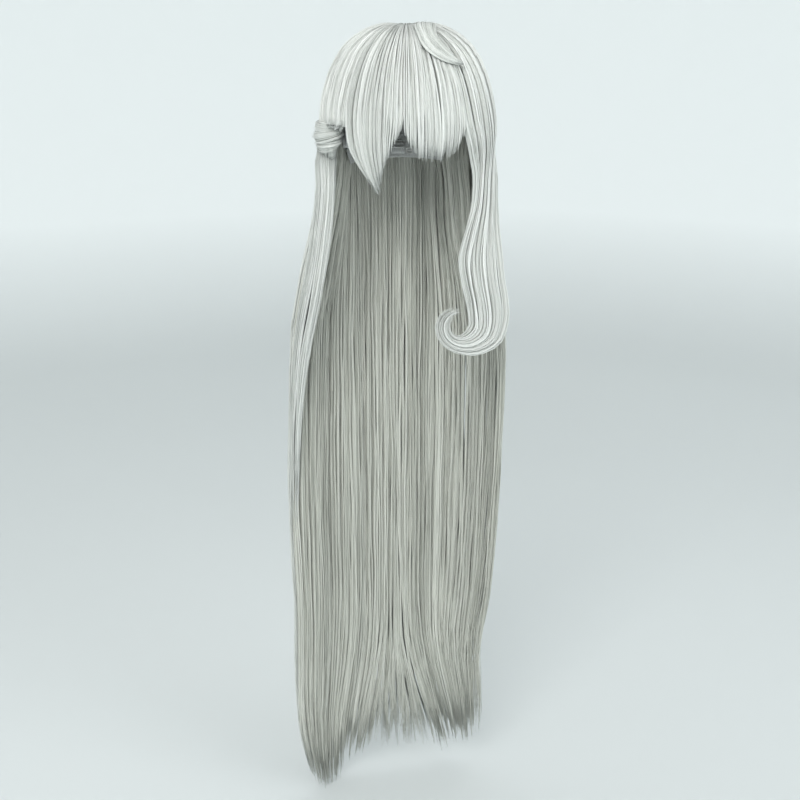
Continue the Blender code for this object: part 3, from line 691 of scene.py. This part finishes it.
def comb_left_lock():
    """The wearer's left side lock, from the whorl down over the shoulder into an inward curl."""
    # Each level under the head, with the inner and outer edge of the lock (x, y)
    hanging = (
        (-0.15, (0.064, -0.08), (0.1025, -0.033)),
        (-0.182, (0.062, -0.077), (0.101, -0.042)),
        (-0.212, (0.054, -0.0735), (0.1015, -0.051)),
        (-0.244, (0.0465, -0.07), (0.105, -0.0575)),
        (-0.272, (0.05, -0.0675), (0.1075, -0.0605)),
        (-0.298, (0.056, -0.065), (0.1115, -0.063)),
    )
    columns = []
    for share in np.linspace(0.0, 1.0, 7):
        bearing = 28.0 + 56.0 * share
        swell = [0.0, -0.0065 * sin(pi * share), 0.0]
        inner_edge = ((28.0, 72.0), (29.7, 85.0), (33.0, 91.5), (35.4, 98.0), (40.3, 105.5))
        later = [(edge + (84.0 - edge) * share, fall - 7.5 * share * max(0.0, (fall - 85.0) / 20.5),
                  0.0152) for edge, fall in inner_edge]
        column = [*on_head_column(bearing, later)]
        for z, inner, outer in hanging:
            x, y = (a + (b - a) * share for a, b in zip(inner, outer))
            column.append(np.array([x, y, z]) + swell)
        for turn, inner, outer in zip(CURL_TURNS, CURL_INNER, CURL_OUTER):
            reach = inner + (outer - inner) * share
            away = np.array([cos(radians(turn)), 0.0, sin(radians(turn))])
            column.append(CURL_EYE + away * reach + swell)
        columns.append(np.array(column))
    rings = np.concatenate([np.linspace(0, 0.56, 16, endpoint=False), np.linspace(0.56, 1, 30)])
    piece = comb("side_lock_strands", Guide(columns), 720, 34, 31, width=0.0013, rings=rings,
                 deep=0.0115, pinch=0.05, ragged=0.03, ends=curl_ends, loose=0.02, thin_tip=0.9,
                 wave=0.0008)
    hang(piece, "side_lock", (0.08, -0.05, -0.092), (0.08, -0.05, -0.132), "side_lock_left")


def comb_leaf():
    """The flat leaf of hair that springs from the whorl and lies forwards over the crown."""
    # Each edge's (bearing, fall) at its root, along its length and at its tip, and the lift over the crown
    edges = (
        ((150.0, 5.0), (96.0, 15.5), -0.001),
        ((20.0, 9.0), (62.0, 19.0), 0.002),
        ((1.0, 18.0), (35.0, 24.5), 0.004),
        ((-1.5, 28.0), (24.5, 31.0), 0.0048),
        ((1.0, 37.0), (24.0, 37.5), 0.0046),
        ((8.0, 43.5), (27.0, 43.5), 0.0042),
        ((19.0, 49.0), (31.5, 49.0), 0.0038),
        ((34.0, 53.0), (36.0, 52.8), 0.003),
    )
    columns = []
    for share in np.linspace(0.0, 1.0, 5):
        column = []
        for row, (left, right, lift) in enumerate(edges):
            sides = np.transpose([left, right])
            ends = on_head(*sides, crown_height(*sides) + lift)
            swell = 0.0008 * min(row, 3) * sin(pi * share)
            column.append(ends[0] * (1 - share) + ends[1] * share + [0.0, 0.0, swell])
        columns.append(np.array(column))
    # shade here is painted shade: the leaf is painted a little darker than the hair round it
    piece = comb("leaf_strands", Guide(columns), 900, 18, 33, width=0.0008, rings=22, deep=0.0034,
                 pinch=0.1, ragged=0.03, root=0.0, wave=0.0005, loose=0.01, thin_tip=0.6, shade=0.22)
    hang(piece, "ahoge", (0.0046, -0.0002, 0.0186), (0.0126, -0.0116, 0.0186), "ahoge")


# ------------ the long back hair

BACK_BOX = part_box("back_hair_centre_over")
UNDER_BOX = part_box("back_hair_centre_under")
SPLIT = BACK_BOX[1].x
HALF = max(abs(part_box("back_hair_right_over")[0].x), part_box("back_hair_left_over")[1].x)

# The curtain's outer edge at each level, as a share of its half width
EDGE = {
    "right": ((-1.06, 0.78), (-0.98, 0.955), (-0.93, 1.01), (-0.87, 1.02), (-0.79, 0.975),
              (-0.715, 1.01), (-0.62, 1.015), (-0.46, 1.0), (-0.36, 0.965), (-0.27, 0.86),
              (-0.2, 0.72), (-0.15, 0.6)),
    "left": ((-1.01, 0.89), (-0.96, 0.965), (-0.89, 0.9), (-0.83, 0.905), (-0.77, 0.985),
             (-0.7, 1.035), (-0.62, 1.055), (-0.44, 1.085), (-0.36, 1.05), (-0.27, 0.9),
             (-0.2, 0.765), (-0.15, 0.735)),
}
# How far forwards the outer edge lies at each level
EDGE_Y = {
    "right": ((-0.5, 0.076), (-0.36, 0.066), (-0.27, 0.057), (-0.2, 0.053), (-0.15, 0.052)),
    "left": ((-0.5, 0.064), (-0.36, 0.054), (-0.27, 0.042), (-0.2, 0.024), (-0.15, 0.006)),
}
# The outermost bearing that each side's hair comes from
OUTER_BEARING = {"right": 240.0, "left": 84.0}
LEVELS = (-0.155, -0.2, -0.27, -0.36, -0.48, -0.62, -0.75, -0.84)
UNDER_FALLS = (84.0, 91.0, 98.0)


def spread_below(x, z):
    """In the lowest fifth of the curtain the strands turn outwards to each side."""
    flow = np.clip((-0.79 - z) / 0.21, 0.0, 1.0) ** 1.6
    side = np.clip((x + 0.008) / 0.028, 0.0, 1.0)
    return x + flow * (-0.03 + 0.078 * side) * np.exp(-((abs(x) / 0.1) ** 4))


def back_column(side, share, under):
    """One column of the back hair: share runs from one side of the lock to the other."""
    back_y = (UNDER_BOX if under else BACK_BOX)[1].y
    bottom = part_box(f"back_hair_{side}_over")[0].z - (0.022 if under else 0.038)
    drop = 0.014 if under else 0.0
    if side == "centre":
        start = SPLIT * (1 - 2 * share)
        bearing = 180.0 - np.degrees(np.arcsin(start / 0.0915))
        bottom -= 0.018 * abs(2 * share - 1)
    else:
        sign = -1 if side == "right" else 1
        inner = 180.0 - sign * 30.3
        bearing = inner + (OUTER_BEARING[side] - inner) * share
        bottom += 0.045 * share**3 + 0.012 * (1 - share) ** 2
    points = []
    for z in (*LEVELS, (LEVELS[-1] + bottom) / 2, bottom):
        if side == "centre":
            x, y = start, back_y
        else:
            outer = HALF * np.interp(z, *np.array(EDGE[side]).T) - (0.004 if under else 0.0)
            x = sign * (SPLIT + (outer - SPLIT) * share)
            near = np.interp(z, *np.array(EDGE_Y[side]).T) - drop
            y = back_y - (back_y - near) * share**1.6
        points.append((spread_below(x, z), y, z))
    if under and side == "left":
        return np.concatenate([on_head(max(bearing, 100.0), UNDER_FALLS, 0.006), points])
    if under:
        return np.concatenate([on_head(bearing, UNDER_FALLS, (0.004, 0.006, 0.009)), points])
    falls = [(bearing, 74, 0.0152), (bearing, 88, 0.015), (bearing, 96, 0.0148)]
    return np.concatenate([on_head_column(bearing, falls), points])


def left_ends(across, luck):
    """Most strands at the left curtain's outer edge stop short."""
    return np.where((across > 0.84) & (luck < 0.8), 0.8, 1.0)


def comb_back():
    """The long hair in three widths, each a layer from the whorl over one from the nape."""
    rings = np.concatenate([np.linspace(0, 0.25, 9, endpoint=False), np.linspace(0.25, 1, 13)])
    for seed, side in enumerate(("right", "centre", "left")):
        for under in (False, True):
            layer = "under" if under else "over"
            guide = Guide([back_column(side, share, under) for share in np.linspace(0, 1, 8)])
            piece = comb(
                f"back_strands_{side}_{layer}", guide, 1480, 56, 60 + 2 * seed + under, width=0.00098,
                rings=rings, deep=0.011, pinch=0.25, ragged=0.055, wave=0.0014, draw=0.72,
                ends=left_ends if side == "left" else None, finish="hair_under" if under else "hair",
            )
            hang(piece, f"back_hair_{side}", (0, 0.08, -0.118), (0, 0.08, -0.188),
                 f"back_hair_{side}_{layer}")


# The side hair at each level: its inner edge's x and its width, and its inner edge's y and its depth
SIDE_ROWS = (
    (-0.175, 0.062, 0.026, 0.068, 0.046),
    (-0.23, 0.066, 0.032, 0.076, 0.04),
    (-0.3, 0.076, 0.036, 0.08, 0.032),
    (-0.38, 0.088, 0.036, 0.082, 0.026),
    (-0.47, 0.094, 0.036, 0.083, 0.022),
)


def comb_side_hair():
    """The shorter hair behind each ear, which fans down to the shoulder."""
    for seed, (side, sign) in enumerate(SIDES):
        columns = []
        for share in np.linspace(0.0, 1.0, 6):
            bearing = sign * (140.0 - 42.0 * share)
            head = on_head(bearing, (88.0, 96.0, 103.0), (0.004, 0.006, 0.007))
            low = [(sign * (x + wide * share), y - deep * share, z) for z, x, wide, y, deep in SIDE_ROWS]
            columns.append(np.concatenate([head, low]))
        piece = comb(f"side_strands_{side}", Guide(columns), 800, 18, 80 + seed, rings=18,
                     deep=0.008, pinch=0.5, ragged=0.35, finish="hair_under", width=0.001)
        hang(piece, f"back_hair_{side}", (0, 0.05, -0.118), (0, 0.05, -0.188), f"side_hair_{side}")


# ------------ the cap

# Falls and bearings of the cap's seams and edges, in degrees
SKIN_TOP_FALL = 21.0
TEMPLE = 60.0
SIDE = 121.0
BAND_FALL = 9.0
NAPE_TOP = 107.0
NAPE_FALL = 11.0
EAR_TOP, EAR_BOTTOM = 86.0, 100.0
EAR_BEARINGS = (64.0, 92.0)
EAR_PINCH = 5.0
SEAM_HALF = 0.35
TAPE_HALF = 2.5
# Heights above the inside of the cap
LAYER = CLOTH + 0.0005
TAPE = 0.0009
WEFT_HEIGHT = LAYER + TAPE + 0.0011
WEFT_POINTS = 70
STITCH_PITCH = 0.0034
STITCH_LENGTH = 0.0022


def hairline(bearing):
    return np.interp(np.abs(bearing), (0, 25, 45, TEMPLE), (62, 63, 67, 73))


def side_edge(bearing):
    return np.interp(np.abs(bearing), (TEMPLE, 66, 94, 104, SIDE), (79, 85, 85, 91, NAPE_TOP - 0.5))


def grid_shell(name, inner, outer, finish, body, node):
    """A closed sheet between two grids of points (row, column, 3), with a UV map in metres."""
    rows, columns = inner.shape[:2]
    points = np.concatenate([inner.reshape(-1, 3), outer.reshape(-1, 3)])
    index = np.arange(rows * columns).reshape(rows, columns)
    a, b, c, d = index[:-1, :-1], index[:-1, 1:], index[1:, 1:], index[1:, :-1]
    low = np.stack([a, b, c, d], -1).reshape(-1, 4)
    high = np.stack([d, c, b, a], -1).reshape(-1, 4) + rows * columns
    ring = np.concatenate([index[0], index[1:, -1], index[-1, -2::-1], index[-2:0:-1, 0]])
    after = np.roll(ring, -1)
    rim = np.stack([after, ring, ring + rows * columns, after + rows * columns], -1)
    faces = np.concatenate([low, high, rim])
    mesh = bpy.data.meshes.new(name)
    mesh.from_pydata(points.tolist(), [], faces.tolist())
    a, b, c, d = (points[faces[:, k]] for k in range(4))
    if np.sum(a * (np.cross(b, c) + np.cross(c, d))) < 0:
        mesh.flip_normals()
    side = np.linalg.norm(np.diff(inner, axis=1), axis=-1)
    down = np.linalg.norm(np.diff(inner, axis=0), axis=-1)
    u = np.concatenate([np.zeros((rows, 1)), np.cumsum(side, axis=1)], axis=1)
    u -= u.mean(axis=1, keepdims=True)
    v = np.concatenate([np.zeros((1, columns)), np.cumsum(down, axis=0)], axis=0)
    cut = np.tile(np.stack([u, v], -1).reshape(-1, 2), (2, 1))
    corners = np.zeros(len(mesh.loops), np.int32)
    mesh.loops.foreach_get("vertex_index", corners)
    mesh.uv_layers.new(name="cut").data.foreach_set("uv", cut[corners].astype(np.float32).ravel())
    mesh.shade_smooth()
    piece = make_piece(name, mesh, finish)
    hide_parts(node)
    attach(piece, body)
    flat = (float(side.sum(axis=1).max()), float(down.sum(axis=0).max()))
    return piece, flat, float((side[:-1] * down[:, :-1]).sum())


def panel(name, finish, body, node, edges, top, bottom, height=0.0, depth=CLOTH, step=2.2,
          ripple=None):
    """A cloth panel over the head: edges are its side bearings, at the top and at the bottom."""
    (first, last), (low_first, low_last) = edges
    nominal = np.linspace(first, last, max(4, int(abs(last - first) / step)))
    tops, bottoms = top(nominal), bottom(nominal)
    rows = max(4, int((bottoms.mean() - tops.mean()) / step))
    v = np.linspace(0, 1, rows)[:, None]
    u = np.linspace(0, 1, len(nominal))[None, :]
    falls = tops + (bottoms - tops) * v
    bearings = (first + (last - first) * u) * (1 - v) + (low_first + (low_last - low_first) * u) * v
    lift = height + (ripple(bearings, falls) if ripple else 0.0)
    piece, flat, area = grid_shell(
        name, on_head(bearings, falls, lift), on_head(bearings, falls, lift + depth), finish, body, node)
    return piece


def steady(value):
    return lambda bearing: np.full(np.shape(bearing), float(value))


def same(first, last):
    return (first, last), (first, last)


def thread(name, lines, radius, finish, body, tints=None):
    """Threads or cords along lines of points, all of one length of list."""
    paths = np.array(lines, float)
    out = paths - HEAD_MIDDLE
    tint = np.linspace(0.2, 0.8, len(paths)) if tints is None else tints
    mesh = tube_mesh(name, paths, out, np.full(paths.shape[:2], radius), {"tint": tint})
    piece = make_piece(name, mesh, finish)
    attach(piece, body)
    return piece


def stitch_lines(path, height):
    """Short stitches along a path of (bearing, fall) places."""
    line = on_head(path[:, 0], path[:, 1], height)
    along = distances(line[:, None])
    lines = []
    for start in np.arange(0.001, along[-1] - STITCH_LENGTH, STITCH_PITCH):
        at = start + STITCH_LENGTH * np.array([0.0, 0.25, 0.75, 1.0])
        spot = read_line(line, along, at)
        out = spot - HEAD_MIDDLE
        out /= np.linalg.norm(out, axis=1, keepdims=True)
        rise = np.array([-0.0003, 0.00015, 0.00015, -0.0003])
        lines.append(spot + out * rise[:, None])
    return lines


def tape_along(name, bearing, falls, node):
    """An elastic tape over a seam of the cap, stitched down along both its edges."""
    panel(name, "elastic", "cap", node, same(bearing - TAPE_HALF, bearing + TAPE_HALF),
          steady(falls[0]), steady(falls[1]), LAYER, TAPE, step=1.2)
    runs = np.linspace(*falls, 60)
    lines = []
    for side in (-0.72, 0.72):
        path = np.stack([np.full(60, bearing + side * TAPE_HALF), runs], -1)
        lines += stitch_lines(path, LAYER + TAPE)
        lines += stitch_lines(path, -0.0001)
    thread(f"{name}_stitches", lines, 0.00022, "thread", "cap")


def nape_gathers(bearings, falls):
    """How far the elastic nape band puckers outwards."""
    return 0.00035 * np.sin(np.radians(bearings) * 118) * np.sin(pi * (falls - NAPE_TOP) / NAPE_FALL)


def build_nets():
    """The stretch net of the cap in five cuts, the lace along the hairline and the crown patch."""
    g = SEAM_HALF
    panel("front_lace", "lace", "cap", "front_band", same(-TEMPLE + g, TEMPLE - g),
          lambda b: hairline(b) - BAND_FALL + 0.3, hairline)
    panel("front_net_cloth", "net", "cap", "front_net", same(-TEMPLE + g, TEMPLE - g),
          steady(SKIN_TOP_FALL + 0.5), lambda b: hairline(b) - BAND_FALL - 0.3)
    for side, sign in SIDES:
        low, high = sorted((sign * TEMPLE, sign * SIDE))
        panel(f"side_net_cloth_{side}", "net", "cap", f"side_net_{side}",
              same(low + g, high - g), steady(SKIN_TOP_FALL + 0.5), side_edge)
        low, high = sorted((180.0, 180.0 - sign * (180.0 - SIDE)))
        panel(f"back_net_cloth_{side}", "net", "cap", f"back_net_{side}",
              same(low + g, high - g), steady(SKIN_TOP_FALL + 0.5), steady(NAPE_TOP - 0.3))
        tape_along(f"temple_tape_cloth_{side}", sign * TEMPLE,
                   (SKIN_TOP_FALL + 2, hairline(TEMPLE) - 1), f"temple_tape_{side}")
        tape_along(f"side_tape_cloth_{side}", sign * SIDE, (SKIN_TOP_FALL + 2, NAPE_TOP - 1),
                   f"side_tape_{side}")
    tape_along("centre_tape_cloth", 180.0, (SKIN_TOP_FALL + 2, NAPE_TOP - 1), "centre_tape")
    panel("skin_top_cloth", "skin", "cap", "skin_top", same(0.0, 360.0),
          steady(0.4), steady(SKIN_TOP_FALL), step=6.0)
    panel("nape_band_cloth", "elastic", "cap", "nape_band",
          same(SIDE + 1.5, 358.5 - SIDE), steady(NAPE_TOP + 0.3), steady(NAPE_TOP + NAPE_FALL),
          step=0.8, ripple=nape_gathers)
    hems = []
    for start, stop, edge in ((-TEMPLE + 1, TEMPLE - 1, hairline), (TEMPLE, SIDE, side_edge),
                              (-SIDE, -TEMPLE, side_edge)):
        bearings = np.linspace(start, stop, 60)
        hems.append(on_head(bearings, edge(bearings) - 0.2, CLOTH / 2))
    thread("edge_binding", hems, 0.0011, "binding", "cap")


def build_wefts():
    """Machine-sewn wefts: three cords with a row of looped roots hanging from them."""
    rows = [("back", i + 1, SIDE + 3.5, 356.5 - SIDE, fall)
            for i, fall in enumerate((36.0, 54.0, 72.0, 88.0, 102.0))]
    rows += [("front", i + 1, 3.5 - TEMPLE, TEMPLE - 3.5, fall) for i, fall in enumerate((36.0, 50.0))]
    for i, fall in enumerate((45.0, 68.0)):
        rows.append(("left", i + 1, TEMPLE + 3.5, SIDE - 3.5, fall))
        rows.append(("right", i + 1, 3.5 - SIDE, -TEMPLE - 3.5, fall))
    for name, row, first, last, fall in rows:
        bearings = np.linspace(first, last, WEFT_POINTS)
        zigzag = np.arange(WEFT_POINTS) * 1.9
        cords = [
            on_head(bearings, fall + side * 0.55 + 0.12 * np.sin(zigzag + side * 2), WEFT_HEIGHT)
            for side in (-1.0, 0.0, 1.0)
        ]
        piece = thread(f"{name}_weft_{row}_cords", cords, 0.00055, "thread", "cap")
        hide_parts(f"{name}_weft_{row}")
        reach = np.linalg.norm(cords[1][-1] - cords[1][0])
        count = int(max(60, reach * 1100))
        roots = []
        for k, bearing in enumerate(np.linspace(first + 0.4, last - 0.4, count)):
            lean = 0.5 * sin(k * 12.9898)
            roots.append(on_head(
                np.array([bearing, bearing + 0.1 * lean, bearing + 0.5 * lean, bearing + lean]),
                fall + np.array([-1.1, 0.4, 3.0, 7.5]),
                WEFT_HEIGHT + np.array([0.0003, 0.0009, 0.0014, 0.0022])))
        thread(f"{name}_weft_{row}_roots", roots, 0.00042, "hair_under", "cap",
               tints=np.array([0.5 + 0.5 * sin(k * 78.233) for k in range(count)]))


def build_ear_tabs():
    """The lace tabs before the ears, bound at the edge, each with a bendable stay in it."""
    low, high = EAR_BEARINGS
    for side, sign in SIDES:
        top = sorted((sign * low, sign * high))
        bottom = sorted((sign * (low + EAR_PINCH), sign * (high - EAR_PINCH)))
        body = f"ear_tab_{side}"
        panel(f"ear_tab_cloth_{side}", "lace", body, body, (top, bottom),
              steady(EAR_TOP), steady(EAR_BOTTOM), step=1.4)
        down = np.linspace(EAR_TOP, EAR_BOTTOM, 24)
        share = (down - EAR_TOP) / (EAR_BOTTOM - EAR_TOP)
        sides = [np.stack([top[k] + (bottom[k] - top[k]) * share, down], -1) for k in (0, 1)]
        foot = np.stack([np.linspace(bottom[0], bottom[1], 24), np.full(24, EAR_BOTTOM)], -1)
        lines = [on_head(p[:, 0], p[:, 1], CLOTH / 2) for p in (*sides, foot)]
        thread(f"ear_tab_binding_{side}", lines, 0.0009, "binding", body)


NAPE_MIDDLE_FALL = radians(NAPE_TOP + NAPE_FALL / 2)
NAPE_RADIUS = (HEAD[0] * sin(NAPE_MIDDLE_FALL)) ** 2 / (HEAD[1] * sin(NAPE_MIDDLE_FALL))
NAPE_AXIS_Y = HEAD[1] * sin(NAPE_MIDDLE_FALL) - NAPE_RADIUS
NAPE_LEVEL = HEAD[2] * (cos(NAPE_MIDDLE_FALL) - 1)

# The first and last arc of each part of an adjuster, in degrees from the middle of the back
LOOP_ARCS = (2, 20)
STRAP_ARCS = (31.4, 54)
CASING_ARCS = (47, 55)
HOOK_ARC = 22.0
LOOP_PITCH = 2.6
STRAP_HALF = 0.003
CASING_HALF = 0.00425
STRAP_CLOTH = 0.0008
CASING_CLOTH = 0.0006
LOOP_RISE = 0.0009
# The hook's wire as (arc, rise) places: its frame, the bar that the strap is sewn to, and its tongue
HOOK_FRAME = [(30.6, 0.0031), (24.4, 0.0031), (22.6, 0.0018), (22.6, -0.0018), (24.4, -0.0031),
              (30.6, -0.0031)]
HOOK_BAR = [(30.6, -0.0033), (30.75, -0.0018), (30.8, 0.0), (30.8, 0.0006), (30.75, 0.0018),
            (30.6, 0.0033)]
HOOK_TONGUE = (30.4, 28.4, 26.6, 25.0, 24.2, 23.9)


def nape_place(arc, radius, rise):
    """A place round the adjusters' axis: arc in degrees from the back, towards the left."""
    turn = np.radians(arc)
    return np.stack([radius * np.sin(turn), NAPE_AXIS_Y + radius * np.cos(turn),
                     NAPE_LEVEL + rise + 0.0 * turn], -1)


def nape_strip(name, finish, body, node, arcs, radii, half, ripple=0.0):
    """A strip of cloth round the nape, between two radii, with half its width."""
    arc = np.linspace(*arcs, 40)[None, :]
    rise = np.linspace(half, -half, 7)[:, None]
    wave = ripple * np.sin(arc * 3.2) * np.cos(rise / half * pi / 2)
    inner = nape_place(arc + 0 * rise, radii[0] + wave, rise)
    outer = nape_place(arc + 0 * rise, radii[1] + wave, rise)
    grid_shell(name, inner, outer, finish, body, node)


def reach_of(node, arc):
    """A strip's outer distance from the adjusters' axis, read off its box at its rearmost arc."""
    return (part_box(node)[1].y - NAPE_AXIS_Y) / cos(radians(arc))


def build_adjusters():
    """Two straps with hooks, each sliding along a tape of loops inside the nape."""
    tape_out = reach_of("loop_tape_left", LOOP_ARCS[0])
    strap_out = reach_of("adjuster_strap_left", STRAP_ARCS[0])
    casing_out = reach_of("strap_casing_left", CASING_ARCS[0])
    wire_out = reach_of("adjuster_hook_left", HOOK_ARC) - 0.0008
    for side, sign in SIDES:
        nape_strip(f"loop_tape_cloth_{side}", "elastic", "cap", f"loop_tape_{side}",
                   sign * np.array(LOOP_ARCS), (tape_out - STRAP_CLOTH, tape_out), CASING_HALF)
        turn = np.linspace(0, pi, 9)
        depth = tape_out - STRAP_CLOTH - LOOP_RISE * np.sin(turn)
        loops = [nape_place(sign * (arc + 0.75 * np.cos(turn)), depth, 0.0022 * np.cos(turn))
                 for arc in np.arange(LOOP_ARCS[0] + 1.5, LOOP_ARCS[1], LOOP_PITCH)]
        thread(f"tape_loops_{side}", loops, 0.00035, "thread", "cap")
        body = f"adjuster_{side}"
        nape_strip(f"adjuster_strap_cloth_{side}", "elastic", body, f"adjuster_strap_{side}",
                   sign * np.array(STRAP_ARCS), (strap_out - STRAP_CLOTH, strap_out), STRAP_HALF,
                   ripple=0.00012)
        nape_strip(f"strap_casing_cloth_{side}", "lace", "cap", f"strap_casing_{side}",
                   sign * np.array(CASING_ARCS), (casing_out - CASING_CLOTH, casing_out), CASING_HALF)
        lines = [[nape_place(sign * arc, wire_out, rise) for arc, rise in line]
                 for line in (HOOK_FRAME, HOOK_BAR)]
        lines.append([nape_place(sign * arc, wire_out - 0.0002 * k, 0.0)
                      for k, arc in enumerate(HOOK_TONGUE)])
        smooth = np.array([smooth_through(line, 6) for line in lines])
        piece = thread(f"adjuster_hook_wire_{side}", smooth, 0.00072, "plastic", body)
        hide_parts(f"adjuster_hook_{side}")


def build_knot_band():
    """The small elastic that holds the twist: a cord wound twice with a covered joint."""
    low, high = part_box("knot_band")
    radius = (high.x - low.x) / 2 - 0.0012
    turn = np.linspace(0.0, 2 * pi * 2.04, 96)
    coil = np.array(middle_of("knot_band")) + np.stack(
        [radius * np.cos(turn), radius * np.sin(turn), 0.0011 * (turn / turn[-1] - 0.5) * 2], -1)
    piece = thread("knot_band_cord", [coil], 0.001, "elastic_cord", "cap")
    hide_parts("knot_band")


def weave_recipe(tree, shader, colour, pitch, deep, hole):
    """Woven cloth on the cut's own map: crossed threads, with open holes between them."""
    cut = add(tree, "UVMap").outputs[0]
    axes = add(tree, "SeparateXYZ", i0=cut)
    waves = []
    for axis in (0, 1):
        turned = times(tree, axes.outputs[axis], 2 * pi / pitch)
        waves.append(math(tree, "ABSOLUTE", math(tree, "SINE", turned)))
    low = math(tree, "MINIMUM", *waves)
    noise = noise_at(tree, cut, 900.0, 2.0)
    shade = plus(tree, times(tree, low, -0.5), noise)
    tone = ramp(tree, shade, [(0.05, darker(colour, 0.62)), (0.6, colour)])
    dress(tree, shader, tone, math(tree, "SUBTRACT", noise, low), 0.5, deep, 0.65, noise)
    tree.links.new(math(tree, "LESS_THAN", low, hole), shader.inputs["Alpha"])


def ribbed_recipe(tree, shader, colour, pitch):
    """Knitted elastic: close ribs along the band and finer ones across it."""
    cut = add(tree, "UVMap").outputs[0]
    axes = add(tree, "SeparateXYZ", i0=cut)
    rib = math(tree, "SINE", times(tree, axes.outputs[0], 2 * pi / pitch))
    cross = math(tree, "SINE", times(tree, axes.outputs[1], 2 * pi / (pitch * 0.6)))
    knit = plus(tree, times(tree, rib, 0.5), times(tree, cross, 0.3))
    noise = noise_at(tree, cut, 500.0, 3.0)
    shade = plus(tree, times(tree, knit, 0.4), noise)
    tone = ramp(tree, shade, [(0.1, darker(colour, 0.7)), (0.8, colour)])
    dress(tree, shader, tone, knit, 0.5, 0.0003, 0.65, noise)


def fibre_recipe(tree, shader, colour, scale, roughness, grain=0.3):
    """Thread, moulded plastic or brushed steel: a fine grain over one colour."""
    spot = add(tree, "TexCoord").outputs["Object"]
    noise = noise_at(tree, spot, scale, 3.0)
    tone = ramp(tree, noise, [(0.25, darker(colour, 1 - grain)), (0.75, colour)])
    dress(tree, shader, tone, noise, 0.25, 0.0002, roughness - 0.08, noise, 0.16)


def skin_recipe(tree, shader):
    """The crown patch: skin-toned knit with a dot where each hair is knotted in."""
    cut = add(tree, "TexCoord").outputs["Object"]
    dots = add(tree, "TexVoronoi", Vector=cut, Scale=700.0).outputs["Distance"]
    noise = noise_at(tree, cut, 160.0, 2.0)
    tone = plus(tree, times(tree, dots, 1.2), times(tree, noise, 0.25))
    colour = ramp(tree, tone, [(0.15, (0.42, 0.36, 0.32)), (0.4, (0.74, 0.64, 0.56)),
                               (0.9, (0.82, 0.72, 0.64))])
    dress(tree, shader, colour, dots, 0.3, 0.0002, 0.5, noise)


def steel_recipe(tree, shader):
    fibre_recipe(tree, shader, (0.62, 0.63, 0.65), 420.0, 0.34, 0.2)
    shader.inputs["Metallic"].default_value = 1.0


RECIPES.update({
    "net": (weave_recipe, (0.6, 0.62, 0.61), 0.005, 0.0004, 0.42),
    "lace": (weave_recipe, (0.7, 0.71, 0.7), 0.0022, 0.0003, 0.62),
    "elastic": (ribbed_recipe, (0.76, 0.77, 0.76), 0.0011),
    "elastic_cord": (fibre_recipe, (0.72, 0.73, 0.72), 900.0, 0.7),
    "binding": (fibre_recipe, (0.66, 0.68, 0.67), 1200.0, 0.75),
    "thread": (fibre_recipe, (0.7, 0.72, 0.71), 1600.0, 0.6),
    "plastic": (fibre_recipe, (0.86, 0.86, 0.84), 300.0, 0.3, 0.06),
    "skin": (skin_recipe,),
    "steel": (steel_recipe,),
})


def build_cap():
    build_nets()
    build_wefts()
    build_ear_tabs()
    build_adjusters()
    build_knot_band()
    # The ear tabs' stays are the CAD's own, in steel
    for side in ("left", "right"):
        stay = bpy.data.objects[f"ear_stay_{side}"]
        for place in range(len(stay.material_slots)):
            stay.material_slots[place].material = material("steel")
        if not stay.material_slots:
            stay.data.materials.append(material("steel"))


def main():
    set_camera()
    set_backdrop()
    set_lights()
    build_cap()
    comb_crown()
    comb_fringe()
    comb_right_lock()
    comb_into_knot()
    comb_knot()
    comb_tail()
    comb_left_lock()
    comb_leaf()
    comb_back()
    comb_side_hair()


main()
